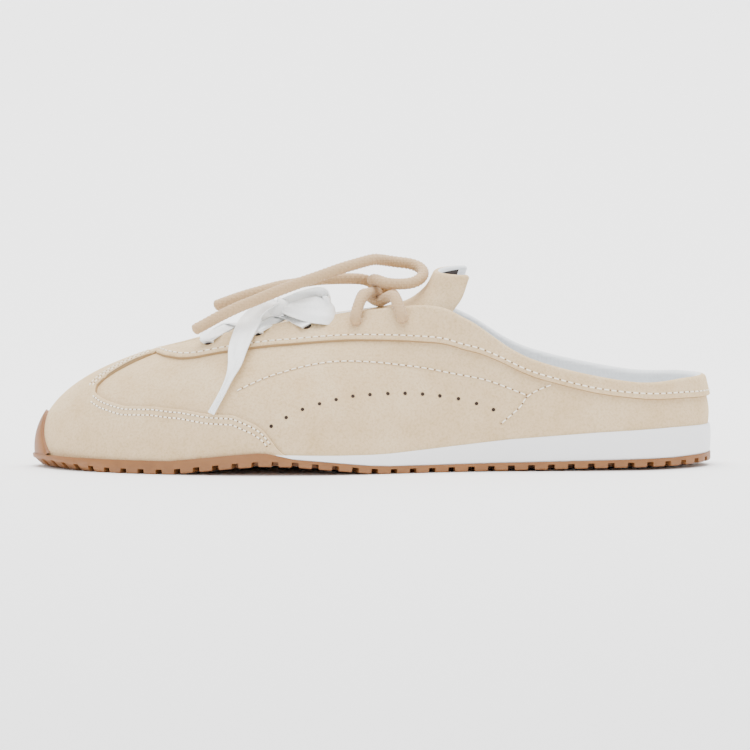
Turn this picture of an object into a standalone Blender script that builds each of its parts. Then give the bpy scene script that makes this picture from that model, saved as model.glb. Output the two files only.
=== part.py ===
# Left low sneaker mule on a lugged gum sole.
# Metres, +Z up. The toe points to -X, the outer side of the foot to -Y.
# The origin is on the floor, in the middle of the sole's length and width.

import math

import bmesh
import bpy
import numpy as np
from mathutils import Matrix, Vector

MM = 0.001

# Driving sizes
SHOE_LENGTH = 266 * MM
BALL_WIDTH = 90 * MM
HEEL_WIDTH = 62.5 * MM
INSTEP_HEIGHT = 63.5 * MM
COLLAR_HEIGHT = 35.5 * MM

OUTSOLE_FORE = 5.2 * MM
OUTSOLE_REAR = 3.0 * MM
ARCH_RISE = 3.4 * MM
HEEL_STACK = 16.0 * MM
TOE_ROLL = 6.0 * MM
SOLE_EDGE_ROUND = 0.5 * MM

LUG_PITCH = 7.65 * MM
GROOVE_WIDTH = 2.7 * MM
GROOVE_HEIGHT = 1.9 * MM
GROOVE_DEPTH = 7.0 * MM

GUARD_HEIGHT = 17.0 * MM
GUARD_FOOT = 2.2 * MM
GUARD_LIP = 1.2 * MM

UPPER_WALL = 2.0 * MM
UPPER_SEAT = 0.55 * MM
OVERLAY = 1.2 * MM
GAP = 0.3 * MM
TOE_INSET = 4.4 * MM
FORE_INSET = 2.6 * MM
REAR_INSET = 1.0 * MM
SWELL = 2.5 * MM
CAP_HEIGHT = 20.5 * MM
BAND_WIDTH = 15.5 * MM

WIDTH_CHANGE = (-0.10, 0.20)
TOE_ROLL_SPAN = (-0.36, -0.49)
GUARD_SPAN = (-0.44, -0.495)
INSET_SPAN = (-0.16, -0.10)
STRIP_LEAST = 0.12

INSOLE_SEAT = 0.5 * MM
INSOLE_THICK = 3.2 * MM
INSOLE_DISH = 0.8 * MM
INSOLE_CLEAR = 1.1 * MM
INSOLE_SLOPE = 8.0 * MM
MIDSOLE_ROUND = 0.4 * MM
MIDSOLE_LEAST = 0.5 * MM

TONGUE_THICK = 2.6 * MM
TONGUE_HALF = 17.0 * MM
TONGUE_MIDDLE = 1.6 * MM
TONGUE_LEAN = 0.09

EYELET_INSET = 6.0 * MM
EYELET_FIRST = -62.0 * MM
EYELET_PITCH = 18.6 * MM

CORD = 4.8 * MM
CORD_END = 4.2 * MM
CORD_LIFT = 3.5 * MM
CORD_MEET = 3.1 * MM
CORD_DIP = 0.4 * MM
CORD_SHOULDER = 0.22
LOOP_RADIUS = 9.6 * MM
LOOP_TILT = 16.0
RIBBON_WIDTH = 7.0 * MM
RIBBON_THICK = 0.9 * MM
RIBBON_LIFT = 2.6 * MM
RIBBON_RISE = 3.0 * MM
RIBBON_STEP = 0.11 * MM
BOW_WIDTH = 11.5 * MM
INNER_LOOP = 0.72
INNER_DROP = 1.6 * MM
BOW_KNOT = (3.4 * MM, 4.2 * MM, 2.6 * MM)
TAIL_WIDTH = 9.5 * MM
TAIL_LIFT = 5.2 * MM

COLUMNS = 80
SOLE_COLUMNS = 104
INSOLE_COLUMNS = 64

# One row a station, round the shoe from the toe tip by the outer side to the heel and back.
# along, rim_along: shares of SHOE_LENGTH from the middle. across, rim_across: shares of the
# width there. rise: the opening's height, 0 at COLLAR_HEIGHT and 1 at INSTEP_HEIGHT.
# wall, crown_down: shares of the side's height. crown_out: share of the way out to the edge.
# swell: share of SWELL. band: share of BAND_WIDTH.
STATION_COLUMNS = ("along", "across", "rim_along", "rim_across", "rise",
                   "wall", "swell", "crown_out", "crown_down", "band")
STATIONS = (
    (-0.500, 0.100, -0.294, 0.044, 0.39, 0.45, 1.0, 0.66, 0.20, 0.50),
    (-0.457, -0.130, -0.288, -0.035, 0.40, 0.45, 1.0, 0.64, 0.20, 0.55),
    (-0.387, -0.295, -0.268, -0.085, 0.45, 0.45, 1.0, 0.60, 0.20, 0.80),
    (-0.294, -0.430, -0.222, -0.108, 0.57, 0.44, 1.0, 0.56, 0.20, 1.15),
    (-0.177, -0.520, -0.145, -0.120, 0.71, 0.44, 0.9, 0.54, 0.22, 1.05),
    (-0.038, -0.530, -0.030, -0.165, 0.89, 0.41, 0.7, 0.42, 0.26, 0.97),
    (0.092, -0.510, 0.083, -0.285, 1.00, 0.36, 0.6, 0.35, 0.29, 1.00),
    (0.165, -0.515, 0.143, -0.385, 0.80, 0.36, 0.5, 0.30, 0.30, 0.85),
    (0.265, -0.520, 0.233, -0.435, 0.27, 0.36, 0.5, 0.30, 0.30, 0.55),
    (0.400, -0.480, 0.376, -0.425, -0.05, 0.35, 0.5, 0.30, 0.30, 0.53),
    (0.474, -0.275, 0.459, -0.240, -0.02, 0.35, 0.5, 0.30, 0.30, 0.58),
    (0.500, 0.000, 0.487, 0.000, 0.01, 0.35, 0.5, 0.35, 0.30, 0.64),
    (0.474, 0.265, 0.459, 0.230, 0.03, 0.35, 0.5, 0.30, 0.30, 0.58),
    (0.400, 0.450, 0.376, 0.395, 0.05, 0.35, 0.5, 0.30, 0.30, 0.53),
    (0.265, 0.465, 0.233, 0.395, 0.36, 0.36, 0.5, 0.30, 0.30, 0.55),
    (0.165, 0.415, 0.143, 0.340, 0.84, 0.36, 0.5, 0.30, 0.30, 0.85),
    (0.092, 0.385, 0.083, 0.250, 1.00, 0.36, 0.6, 0.35, 0.29, 1.00),
    (-0.038, 0.405, -0.030, 0.160, 0.89, 0.41, 0.7, 0.42, 0.26, 0.97),
    (-0.177, 0.465, -0.145, 0.135, 0.71, 0.44, 0.9, 0.54, 0.22, 1.05),
    (-0.297, 0.480, -0.222, 0.140, 0.57, 0.44, 1.0, 0.56, 0.20, 1.15),
    (-0.397, 0.428, -0.268, 0.140, 0.45, 0.45, 1.0, 0.60, 0.20, 0.80),
    (-0.472, 0.290, -0.288, 0.115, 0.40, 0.45, 1.0, 0.64, 0.20, 0.55),
)
HEEL_ROW = 11
ROWS = len(STATIONS)

# The sole from the side. arch: share of ARCH_RISE. fore: 1 where the outsole is OUTSOLE_FORE
# thick, 0 where it is OUTSOLE_REAR. wedge: how far the foot bed has risen to HEEL_STACK.
SIDE_COLUMNS = ("along", "arch", "fore", "wedge")
SIDE = (
    (-0.500, 0.00, 1.0, 0.00),
    (-0.290, 0.00, 1.0, 0.00),
    (-0.200, 0.75, 1.0, 0.18),
    (-0.160, 1.00, 1.0, 0.24),
    (-0.145, 1.00, 0.9, 0.23),
    (-0.110, 0.95, 0.0, 0.215),
    (-0.050, 0.50, 0.0, 0.19),
    (0.000, 0.10, 0.0, 0.19),
    (0.030, 0.00, 0.0, 0.22),
    (0.085, 0.00, 0.0, 0.34),
    (0.140, 0.05, 0.0, 0.48),
    (0.200, 0.14, 0.0, 0.64),
    (0.325, 0.32, 0.0, 0.86),
    (0.440, 0.42, 0.1, 1.00),
    (0.500, 0.60, 0.2, 1.02),
)
MIDSOLE_FRONT = -0.135

# The toe cap's upper edge from the side. height: share of CAP_HEIGHT above the foot bed.
CAP_COLUMNS = ("along", "height")
CAP_EDGE = (
    (-0.500, 1.20),
    (-0.405, 1.15),
    (-0.380, 1.00),
    (-0.300, 0.97),
    (-0.250, 0.93),
    (-0.190, 0.78),
    (-0.165, 0.57),
    (-0.145, 0.30),
    (-0.133, 0.05),
    (0.500, 0.05),
)
CAP_END = -0.137
STRIP_EDGE_ROW = 0.9
STRIP_SHORT = 0.12

# The tongue from its front end to its free end. half: share of TONGUE_HALF. height: share of
# INSTEP_HEIGHT. back, drop: how far its wings lie behind and below its middle, of TONGUE_HALF.
TONGUE_COLUMNS = ("along", "height", "half", "back", "drop")
TONGUE = (
    (-0.318, 0.648, 0.45, 0.00, 0.10),
    (-0.263, 0.730, 0.62, 0.05, 0.30),
    (-0.170, 0.838, 0.88, 0.10, 0.48),
    (-0.075, 0.920, 0.97, 0.20, 0.60),
    (0.005, 0.975, 1.00, 0.35, 0.66),
    (0.052, 1.020, 1.02, 0.55, 0.58),
    (0.080, 1.100, 1.00, 0.70, 0.28),
    (0.094, 1.195, 0.98, 0.72, 0.04),
)

# Places of the laces: shares of SHOE_LENGTH along, BALL_WIDTH across and INSTEP_HEIGHT up.
LOOP_PLACE = (0.043, 0.004, 1.178)
BOW_PINCH = (-0.130, -0.033, 1.039)
CORD_END_LONG = (
    (0.036, 0.028, 1.222),
    (0.023, 0.013, 1.255),
    (0.004, -0.011, 1.261),
    (-0.022, -0.044, 1.244),
    (-0.044, -0.072, 1.217),
    (-0.073, -0.100, 1.175),
    (-0.103, -0.124, 1.134),
    (-0.132, -0.140, 1.093),
    (-0.161, -0.156, 1.049),
    (-0.191, -0.173, 1.002),
    (-0.217, -0.191, 0.951),
    (-0.239, -0.204, 0.907),
    (-0.256, -0.211, 0.876),
)
CORD_END_SHORT = (
    (-0.005, 0.003, 1.162),
    (-0.022, 0.018, 1.159),
    (-0.044, 0.033, 1.154),
    (-0.066, 0.042, 1.151),
    (-0.088, 0.047, 1.142),
    (-0.110, 0.044, 1.124),
    (-0.132, 0.022, 1.118),
    (-0.161, -0.018, 1.099),
    (-0.191, -0.049, 1.065),
    (-0.227, -0.067, 0.998),
)

# The outer loop of the ribbon bow, out by its lower wall and back by its upper one.
# x, y, z: shares like the ones above, from the pinch. face_x, face_y, face_z: the way that its
# outer face looks. width: share of BOW_WIDTH.
BOW_COLUMNS = ("x", "y", "z", "face_x", "face_y", "face_z", "width")
BOW_LOOP = (
    (0.004, -0.017, -0.006, 0.0, -0.80, 0.60, 0.40),
    (0.024, -0.078, 0.013, 0.0, -0.80, 0.60, 0.78),
    (0.051, -0.111, 0.009, 0.2, -0.78, 0.58, 0.98),
    (0.073, -0.100, -0.003, 0.8, -0.40, 0.50, 0.92),
    (0.081, -0.061, 0.006, 1.0, 0.10, 0.40, 0.80),
    (0.066, -0.029, 0.022, 0.3, 0.85, 0.35, 0.80),
    (0.034, -0.011, 0.028, 0.0, 0.90, 0.30, 0.65),
    (0.004, 0.017, 0.013, 0.0, 0.90, 0.30, 0.38),
)

# A tail over the throat's edge: shares from the pinch, and its share of TAIL_WIDTH there.
TAIL_START = (
    (-0.016, 0.024, -0.009, 0.60),
    (-0.029, 0.067, -0.017, 0.90),
)
# The rest of it down the side: along and height as shares, then its shares of TAIL_WIDTH and
# of TAIL_LIFT. The last rows are its narrow sealed end.
TAIL_OUTER = (
    (-0.167, 0.876, 1.00, 1.00),
    (-0.179, 0.791, 0.95, 0.80),
    (-0.186, 0.712, 0.80, 0.55),
    (-0.192, 0.620, 0.52, 0.36),
    (-0.198, 0.551, 0.38, 0.30),
    (-0.209, 0.465, 0.37, 0.28),
    (-0.223, 0.356, 0.34, 0.28),
)
TAIL_INNER = (
    (-0.160, 0.876, 0.95, 1.00),
    (-0.162, 0.791, 0.88, 0.80),
    (-0.164, 0.709, 0.72, 0.55),
    (-0.163, 0.630, 0.50, 0.36),
    (-0.161, 0.567, 0.38, 0.30),
    (-0.156, 0.472, 0.37, 0.28),
    (-0.151, 0.386, 0.34, 0.28),
)


def smooth_rows(rows, columns, closed=False):
    """A cubic curve through every column of a table, read at a row number."""
    data = np.array(rows, dtype=float)
    count = len(data)

    def read(place):
        low = int(math.floor(place))
        share = place - low
        if closed:
            a, b, c, d = (data[(low + k) % count] for k in (-1, 0, 1, 2))
        else:
            low = min(max(low, 0), count - 2)
            share = place - low
            b, c = data[low], data[low + 1]
            a = data[low - 1] if low > 0 else 2 * b - c
            d = data[low + 2] if low + 2 < count else 2 * c - b
        row = 0.5 * (2 * b + (c - a) * share + (2 * a - 5 * b + 4 * c - d) * share ** 2
                     + (3 * b - a - 3 * c + d) * share ** 3)
        return dict(zip(columns, row))

    return read


def keyed_rows(rows, columns):
    """A table read by its first column, straight between its rows."""
    keys = [row[0] for row in rows]

    def read(along):
        along = min(max(along, keys[0]), keys[-1])
        low = max(k for k in range(len(keys) - 1) if keys[k] <= along)
        share = (along - keys[low]) / (keys[low + 1] - keys[low])
        values = [a + (b - a) * share for a, b in zip(rows[low], rows[low + 1])]
        return dict(zip(columns, values))

    return read


station = smooth_rows(STATIONS, STATION_COLUMNS, closed=True)
side_row = keyed_rows(SIDE, SIDE_COLUMNS)
cap_row = keyed_rows(CAP_EDGE, CAP_COLUMNS)
tongue_row = smooth_rows(TONGUE, TONGUE_COLUMNS)


def eased(value, span):
    """0 at the span's first value, 1 at its second, smooth between."""
    share = min(max((value - span[0]) / (span[1] - span[0]), 0.0), 1.0)
    return share * share * (3 - 2 * share)


def width_at(along):
    """The width that the shares across follow: the ball's in front, the heel's behind."""
    return BALL_WIDTH + (HEEL_WIDTH - BALL_WIDTH) * eased(along, WIDTH_CHANGE)


def plan_point(along, across):
    return Vector((along * SHOE_LENGTH, across * width_at(along), 0.0))


def raw_outline(place):
    row = station(place)
    return plan_point(row["along"], row["across"])


SAMPLES = [raw_outline(k / 40) for k in range(ROWS * 40)]
CENTRE = Vector(((max(p.x for p in SAMPLES) + min(p.x for p in SAMPLES)) / 2,
                 (max(p.y for p in SAMPLES) + min(p.y for p in SAMPLES)) / 2, 0.0))


def outline(place):
    return raw_outline(place) - CENTRE


def outward(place):
    """The level direction out of the shoe at a station."""
    ahead = outline(place + 0.02) - outline(place - 0.02)
    return Vector((-ahead.y, ahead.x, 0.0)).normalized() * -1.0


def bottom_at(x):
    return side_row(x / SHOE_LENGTH)["arch"] * ARCH_RISE


def outsole_top_at(x):
    fore = side_row(x / SHOE_LENGTH)["fore"]
    return bottom_at(x) + OUTSOLE_REAR + (OUTSOLE_FORE - OUTSOLE_REAR) * fore


def bed_at(x):
    """The height of the surface that the upper and the insole stand on."""
    wedge = side_row(x / SHOE_LENGTH)["wedge"]
    return max(OUTSOLE_FORE + wedge * (HEEL_STACK - OUTSOLE_FORE), outsole_top_at(x))


def toe_share(x):
    """1 at the toe tip, 0 from the ball back."""
    return eased(x / SHOE_LENGTH, TOE_ROLL_SPAN)


def guard_share(x):
    """1 at the toe tip, 0 where the outsole's climbing rim has come down."""
    return eased(x / SHOE_LENGTH, GUARD_SPAN)


def edge_inset(x):
    """How far the upper's lower edge stands in from the sole's outline."""
    inset = FORE_INSET + (REAR_INSET - FORE_INSET) * eased(x / SHOE_LENGTH, INSET_SPAN)
    return inset + (TOE_INSET - FORE_INSET) * toe_share(x)


def edge_point(place):
    flat = outline(place)
    point = flat - outward(place) * edge_inset(flat.x)
    point.z = bed_at(point.x) + UPPER_SEAT
    return point


def rim_point(place):
    row = station(place)
    point = plan_point(row["rim_along"], row["rim_across"]) - CENTRE
    point.z = COLLAR_HEIGHT + row["rise"] * (INSTEP_HEIGHT - COLLAR_HEIGHT)
    return point


def skin(place, level):
    """The upper's outer face: level 0 is its lower edge, level 1 its opening."""
    row = station(place)
    foot = edge_point(place)
    rim = rim_point(place)
    height = rim.z - foot.z
    away = Vector((foot.x - rim.x, foot.y - rim.y, 0.0))
    lower = foot + Vector((0, 0, row["wall"] * height)) + outward(place) * row["swell"] * SWELL
    upper = rim + away * row["crown_out"] - Vector((0, 0, row["crown_down"] * height))
    a = 1.0 - level
    return (foot * a ** 3 + lower * 3 * a * a * level
            + upper * 3 * a * level * level + rim * level ** 3)


def skin_normal(place, level):
    step = 0.01
    low, high = max(level - step, 0.0), min(level + step, 1.0)
    along = skin(place + step, level) - skin(place - step, level)
    up = skin(place, high) - skin(place, low)
    return up.cross(along).normalized() * -1.0


def places(count):
    """Stations at even distances along each side, with one at the toe tip and one at the heel."""
    fine = 60
    result = []
    for start, end in ((0, HEEL_ROW), (HEEL_ROW, ROWS)):
        steps = (end - start) * fine
        marks = [start + (end - start) * k / steps for k in range(steps + 1)]
        run = [0.0]
        for a, b in zip(marks, marks[1:]):
            run.append(run[-1] + (outline(b) - outline(a)).length)
        for k in range(count // 2):
            result.append(float(np.interp(run[-1] * k / (count // 2), run, marks)))
    return result


def level_from_rim(place, distance):
    """The level at a distance down the skin from the opening."""
    level = 1.0
    last = skin(place, level)
    run = 0.0
    while run < distance and level > 0.02:
        level -= 0.01
        here = skin(place, level)
        run += (here - last).length
        last = here
    return level


def level_at_height(place, height_over):
    """The level where the skin has climbed to a height, given as a function of the point."""
    low, high = 0.0, 1.0
    for _ in range(12):
        middle = (low + high) / 2
        here = skin(place, middle)
        if here.z < height_over(here):
            low = middle
        else:
            high = middle
    return low


def cap_height(point):
    return bed_at(point.x) + cap_row(point.x / SHOE_LENGTH)["height"] * CAP_HEIGHT


def band_level(place):
    return level_from_rim(place, station(place)["band"] * BAND_WIDTH)


CAP_ROWS = 3
VAMP_ROWS = 3
BAND_ROWS = 3


def levels_at(place):
    band = band_level(place)
    cap = min(level_at_height(place, cap_height), band - STRIP_LEAST)
    levels = [cap * k / CAP_ROWS for k in range(CAP_ROWS)]
    levels += [cap + (band - cap) * k / VAMP_ROWS for k in range(VAMP_ROWS)]
    levels += [band + (1.0 - band) * k / BAND_ROWS for k in range(BAND_ROWS + 1)]
    return levels


PLACES = places(COLUMNS)
LEVELS = [levels_at(p) for p in PLACES]


# Scene and material helpers

def clear_scene():
    for item in list(bpy.data.objects):
        bpy.data.objects.remove(item, do_unlink=True)


def collection(name):
    made = bpy.data.collections.new(name)
    bpy.context.scene.collection.children.link(made)
    return made


def material(name, colour, roughness, metallic=0.0):
    made = bpy.data.materials.new(name)
    made.use_nodes = True
    shader = made.node_tree.nodes["Principled BSDF"]
    shader.inputs["Base Color"].default_value = (*colour, 1.0)
    shader.inputs["Roughness"].default_value = roughness
    shader.inputs["Metallic"].default_value = metallic
    return made


def mesh_object(name, verts, faces, home, look=None, smooth_angle=40):
    mesh = bpy.data.meshes.new(name)
    mesh.from_pydata([tuple(v) for v in verts], [], faces)
    made = bpy.data.objects.new(name, mesh)
    home.objects.link(made)
    if look:
        mesh.materials.append(look)
    if smooth_angle:
        mesh.shade_smooth()
        mesh.set_sharp_from_angle(angle=math.radians(smooth_angle))
    return made


def thicken(made, thickness):
    """Gives an open surface a wall on its inner side."""
    wall = made.modifiers.new("wall", "SOLIDIFY")
    wall.thickness = thickness
    wall.offset = -1.0
    wall.use_even_offset = True
    return wall


def boolean(made, other, operation):
    cut = made.modifiers.new(operation.lower(), "BOOLEAN")
    cut.operation = operation
    cut.solver = "EXACT"
    cut.object = other


def hide_cutter(made):
    made.hide_render = True
    made.display_type = "WIRE"


# Upper and its overlays

def make_upper(home, look):
    verts = [skin(p, level) for p, levels in zip(PLACES, LEVELS) for level in levels]
    rows = len(LEVELS[0])
    faces = []
    for j in range(COLUMNS):
        a, b = j * rows, ((j + 1) % COLUMNS) * rows
        faces += [(a + i, b + i, b + i + 1, a + i + 1) for i in range(rows - 1)]
    made = mesh_object("upper", verts, faces, home, look)
    thicken(made, UPPER_WALL)
    return made


def overlay_object(name, cells, lift, thickness, home, look, stop_row=None):
    """A piece laid on the upper, over the given cells of the upper's own grid.

    Where its cells reach stop_row, the piece ends a little short of that row.
    """
    corners = {}
    faces = []
    for j, i in cells:
        k = (j + 1) % COLUMNS
        face = [(j, i), (k, i), (k, i + 1), (j, i + 1)]
        faces.append([corners.setdefault(corner, len(corners)) for corner in face])
    verts = []
    for j, i in corners:
        level = LEVELS[j][i]
        if i == stop_row:
            level -= (level - LEVELS[j][i - 1]) * STRIP_SHORT
        verts.append(skin(PLACES[j], level) + skin_normal(PLACES[j], level) * (lift + thickness))
    made = mesh_object(name, verts, faces, home, look)
    thicken(made, thickness)
    return made


def toe_columns(limit):
    """The grid's columns whose lower edge lies ahead of a share of the length."""
    return [j for j, p in enumerate(PLACES) if outline(p).x < limit * SHOE_LENGTH]


def make_toe_overlay(home, look):
    cells = []
    for j in toe_columns(CAP_END):
        cells += [(j, i) for i in range(CAP_ROWS)]
    for j, place in enumerate(PLACES):
        if place < STRIP_EDGE_ROW or place > ROWS - STRIP_EDGE_ROW:
            cells += [(j, CAP_ROWS + i) for i in range(VAMP_ROWS)]
    return overlay_object("toe_overlay", cells, GAP, OVERLAY, home, look,
                          stop_row=CAP_ROWS + VAMP_ROWS)


def make_collar_band(home, look):
    first = CAP_ROWS + VAMP_ROWS
    cells = [(j, first + i) for j in range(COLUMNS) for i in range(BAND_ROWS)]
    return overlay_object("collar_band", cells, GAP, OVERLAY, home, look)


# Sole pieces, lofted from the heel to the toe in strips across

def across_loft(name, rings, home, look):
    """A closed solid from a column of points at each station round the edge.

    The columns' first points close the bottom and their last ones the top, each by strips
    between the outer and the inner side.
    """
    count = len(rings)
    rows = len(rings[0])
    verts = [point for ring in rings for point in ring]
    faces = []
    for j in range(count):
        a, b = j * rows, ((j + 1) % count) * rows
        faces += [(a + i, b + i, b + i + 1, a + i + 1) for i in range(rows - 1)]
    half = count // 2
    for j in range(half):
        k = (count - j) % count
        m = (count - j - 1) % count
        bottom = [j * rows, k * rows, m * rows, (j + 1) * rows]
        faces.append(list(dict.fromkeys(bottom)))
        top = [index + rows - 1 for index in reversed(bottom)]
        faces.append(list(dict.fromkeys(top)))
    return mesh_object(name, verts, faces, home, look, smooth_angle=35)


def inset_point(place, inset, z):
    flat = outline(place)
    point = flat - outward(place) * inset
    return Vector((point.x, point.y, z))


def make_outsole_body(home, look):
    rings = []
    for place in places(SOLE_COLUMNS):
        x = outline(place).x
        low = bottom_at(x)
        top = outsole_top_at(x)
        roll = toe_share(x)
        under = SOLE_EDGE_ROUND + roll * TOE_ROLL
        shoulder = low + SOLE_EDGE_ROUND + roll * (OUTSOLE_FORE * 0.55)
        rings.append([
            inset_point(place, under, low),
            inset_point(place, 0.12 * under, shoulder),
            inset_point(place, 0.0, top),
        ])
    return across_loft("outsole", rings, home, look)


def make_groove_cutter(home):
    """One box for each gap between two lugs, set square to the sole's outline."""
    fine = places(1200)
    run = [0.0]
    for a, b in zip(fine, fine[1:]):
        run.append(run[-1] + (outline(b) - outline(a)).length)
    count = round(run[-1] / LUG_PITCH)
    tool = bmesh.new()
    reach = GROOVE_DEPTH + 4 * MM
    for k in range(count):
        place = float(np.interp(run[-1] * (k + 0.5) / count, run, fine))
        flat = outline(place)
        out = outward(place)
        roll = toe_share(flat.x)
        centre = flat + out * (2 * MM - reach / 2)
        tall = 2 * (GROOVE_HEIGHT + roll * OUTSOLE_FORE * 0.3)
        centre.z = bottom_at(flat.x)
        turn = Matrix.Rotation(math.atan2(out.y, out.x), 4, "Z")
        size = Matrix.Diagonal((reach, GROOVE_WIDTH, tall, 1.0))
        bmesh.ops.create_cube(tool, size=1.0, matrix=Matrix.Translation(centre) @ turn @ size)
    mesh = bpy.data.meshes.new("groove_cutter")
    tool.to_mesh(mesh)
    tool.free()
    made = bpy.data.objects.new("groove_cutter", mesh)
    home.objects.link(made)
    hide_cutter(made)
    return made


def make_toe_guard(home):
    """The rim of the outsole that climbs over the toe, laid on the toe overlay."""
    lift = 3 * GAP + OVERLAY
    steps = 4
    columns = [j for j, p in enumerate(PLACES) if guard_share(outline(p).x) > 0.02]
    columns.sort(key=lambda j: j if j < COLUMNS / 2 else j - COLUMNS)
    outer, inner = [], []
    for j in columns:
        place = PLACES[j]
        height = GUARD_HEIGHT * guard_share(outline(place).x)
        top = edge_point(place).z + height
        level = level_at_height(place, lambda here: top)
        for k in range(steps + 1):
            part = k / steps
            point = skin(place, level * part)
            out = skin_normal(place, level * part)
            thick = GUARD_FOOT + (GUARD_LIP - GUARD_FOOT) * part
            inner.append(point + out * lift)
            outer.append(point + out * (lift + thick))
        sunk = Vector((0, 0, OUTSOLE_FORE * 0.4))
        first = len(inner) - steps - 1
        inner[first] = inner[first] - sunk
        outer[first] = outer[first] - sunk
    rows = steps + 1
    total = len(inner)
    verts = inner + outer
    faces = []
    last = len(columns) - 1
    for j in range(last):
        for i in range(steps):
            a, b = j * rows + i, (j + 1) * rows + i
            faces.append((a, a + 1, b + 1, b))
            faces.append((total + a, total + b, total + b + 1, total + a + 1))
        a, b = j * rows, (j + 1) * rows
        faces.append((a, b, total + b, total + a))
        faces.append((a + steps, total + a + steps, total + b + steps, b + steps))
    for j, flip in ((0, False), (last, True)):
        for i in range(steps):
            a = j * rows + i
            face = [a, total + a, total + a + 1, a + 1]
            faces.append(face[::-1] if flip else face)
    made = mesh_object("toe_guard_tool", verts, faces, home)
    hide_cutter(made)
    return made


def make_midsole(home, look):
    everywhere = places(SOLE_COLUMNS)
    kept = [p for p in everywhere if outline(p).x > MIDSOLE_FRONT * SHOE_LENGTH]
    rings = []
    for place in kept:
        x = outline(place).x
        low = outsole_top_at(x) + GAP
        top = max(bed_at(x), low + MIDSOLE_LEAST)
        rings.append([
            inset_point(place, MIDSOLE_ROUND, low),
            inset_point(place, 0.0, (low + top) / 2),
            inset_point(place, MIDSOLE_ROUND, top),
        ])
    count = len(rings)
    rows = len(rings[0])
    verts = [point for ring in rings for point in ring]
    faces = []
    for j in range(count - 1):
        a, b = j * rows, (j + 1) * rows
        faces += [(a + i, b + i, b + i + 1, a + i + 1) for i in range(rows - 1)]
    for j in range(count // 2):
        a, b = j, count - 1 - j
        if b - a < 2:
            continue
        bottom = [a * rows, b * rows, (b - 1) * rows, (a + 1) * rows]
        faces.append(list(dict.fromkeys(bottom)))
        top = [index + rows - 1 for index in reversed(bottom)]
        faces.append(list(dict.fromkeys(top)))
    last = (count - 1) * rows
    faces.append([0, 1, 2, last + 2, last + 1, last])
    return mesh_object("midsole", verts, faces, home, look, smooth_angle=35)


def make_insole(home, look):
    rings = []
    for place in places(INSOLE_COLUMNS):
        x = outline(place).x
        inset = edge_inset(x) + UPPER_WALL + INSOLE_CLEAR
        low = bed_at(x) + INSOLE_SEAT
        top = low + INSOLE_THICK
        rings.append([
            inset_point(place, inset, low),
            inset_point(place, inset, top),
            inset_point(place, inset + INSOLE_SLOPE, top - INSOLE_DISH),
        ])
    return across_loft("insole", rings, home, look)


# Tongue

def tongue_point(place, side):
    """side runs from -1, the outer wing's edge, to 1, the inner wing's."""
    row = tongue_row(place)
    across = row["half"] * TONGUE_HALF * math.sin(side * math.pi / 2)
    bow = 1.0 - math.cos(side * math.pi / 2)
    free = max(place - len(TONGUE) + 3.0, 0.0) / 2.0
    return Vector((
        row["along"] * SHOE_LENGTH + row["back"] * TONGUE_HALF * bow,
        across + TONGUE_MIDDLE,
        row["height"] * INSTEP_HEIGHT - row["drop"] * TONGUE_HALF * bow
        + across * TONGUE_LEAN * free,
    ))


def make_tongue(home, look):
    long_steps, cross_steps = 16, 9
    verts = []
    for k in range(long_steps + 1):
        place = (len(TONGUE) - 1) * k / long_steps
        verts += [tongue_point(place, -1 + 2 * m / cross_steps) for m in range(cross_steps + 1)]
    row = cross_steps + 1
    faces = []
    for k in range(long_steps):
        for m in range(cross_steps):
            a = k * row + m
            faces.append((a, a + row, a + row + 1, a + 1))
    made = mesh_object("tongue", verts, faces, home, look)
    thicken(made, TONGUE_THICK)
    return made


# Laces

def lace_point(row):
    """A point, or a step, from its shares of the shoe's length, width and height."""
    return Vector((row[0] * SHOE_LENGTH, row[1] * BALL_WIDTH, row[2] * INSTEP_HEIGHT))


def place_at(x, outer_side):
    """The station whose eyelet line crosses a distance along the shoe."""
    start, end = (1.5, 6.4) if outer_side else (ROWS - 1.5, ROWS - 6.4)
    best, near = start, 1.0
    for k in range(201):
        place = start + (end - start) * k / 200
        level = level_from_rim(place, EYELET_INSET)
        miss = abs(skin(place, level).x - x)
        if miss < near:
            best, near = place, miss
    return best


def eyelet(number, outer_side, lift):
    """A point over an eyelet, lifted off the collar band, and the way that the band faces."""
    place = place_at(EYELET_FIRST + EYELET_PITCH * number, outer_side)
    level = level_from_rim(place, EYELET_INSET)
    out = skin_normal(place, level)
    return skin(place, level) + out * (GAP + OVERLAY + lift), out


def smooth_path(points, steps):
    """Even points along a smooth curve through the given ones."""
    fine = smooth_rows([tuple(p) for p in points], ("x", "y", "z"))
    dense = [Vector(tuple(fine((len(points) - 1) * k / 400).values())) for k in range(401)]
    run = [0.0]
    for a, b in zip(dense, dense[1:]):
        run.append(run[-1] + (b - a).length)
    result = []
    for k in range(steps + 1):
        at = run[-1] * k / steps
        result.append(Vector([float(np.interp(at, run, [p[c] for p in dense])) for c in range(3)]))
    return result


def tube(name, points, diameter, home, look, closed=False):
    curve = bpy.data.curves.new(name, "CURVE")
    curve.dimensions = "3D"
    curve.bevel_depth = diameter / 2
    curve.bevel_resolution = 2
    curve.use_fill_caps = not closed
    line = curve.splines.new("POLY")
    line.points.add(len(points) - 1)
    for spot, point in zip(line.points, points):
        spot.co = (*point, 1.0)
    line.use_cyclic_u = closed
    made = bpy.data.objects.new(name, curve)
    home.objects.link(made)
    if look:
        curve.materials.append(look)
    return made


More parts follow.
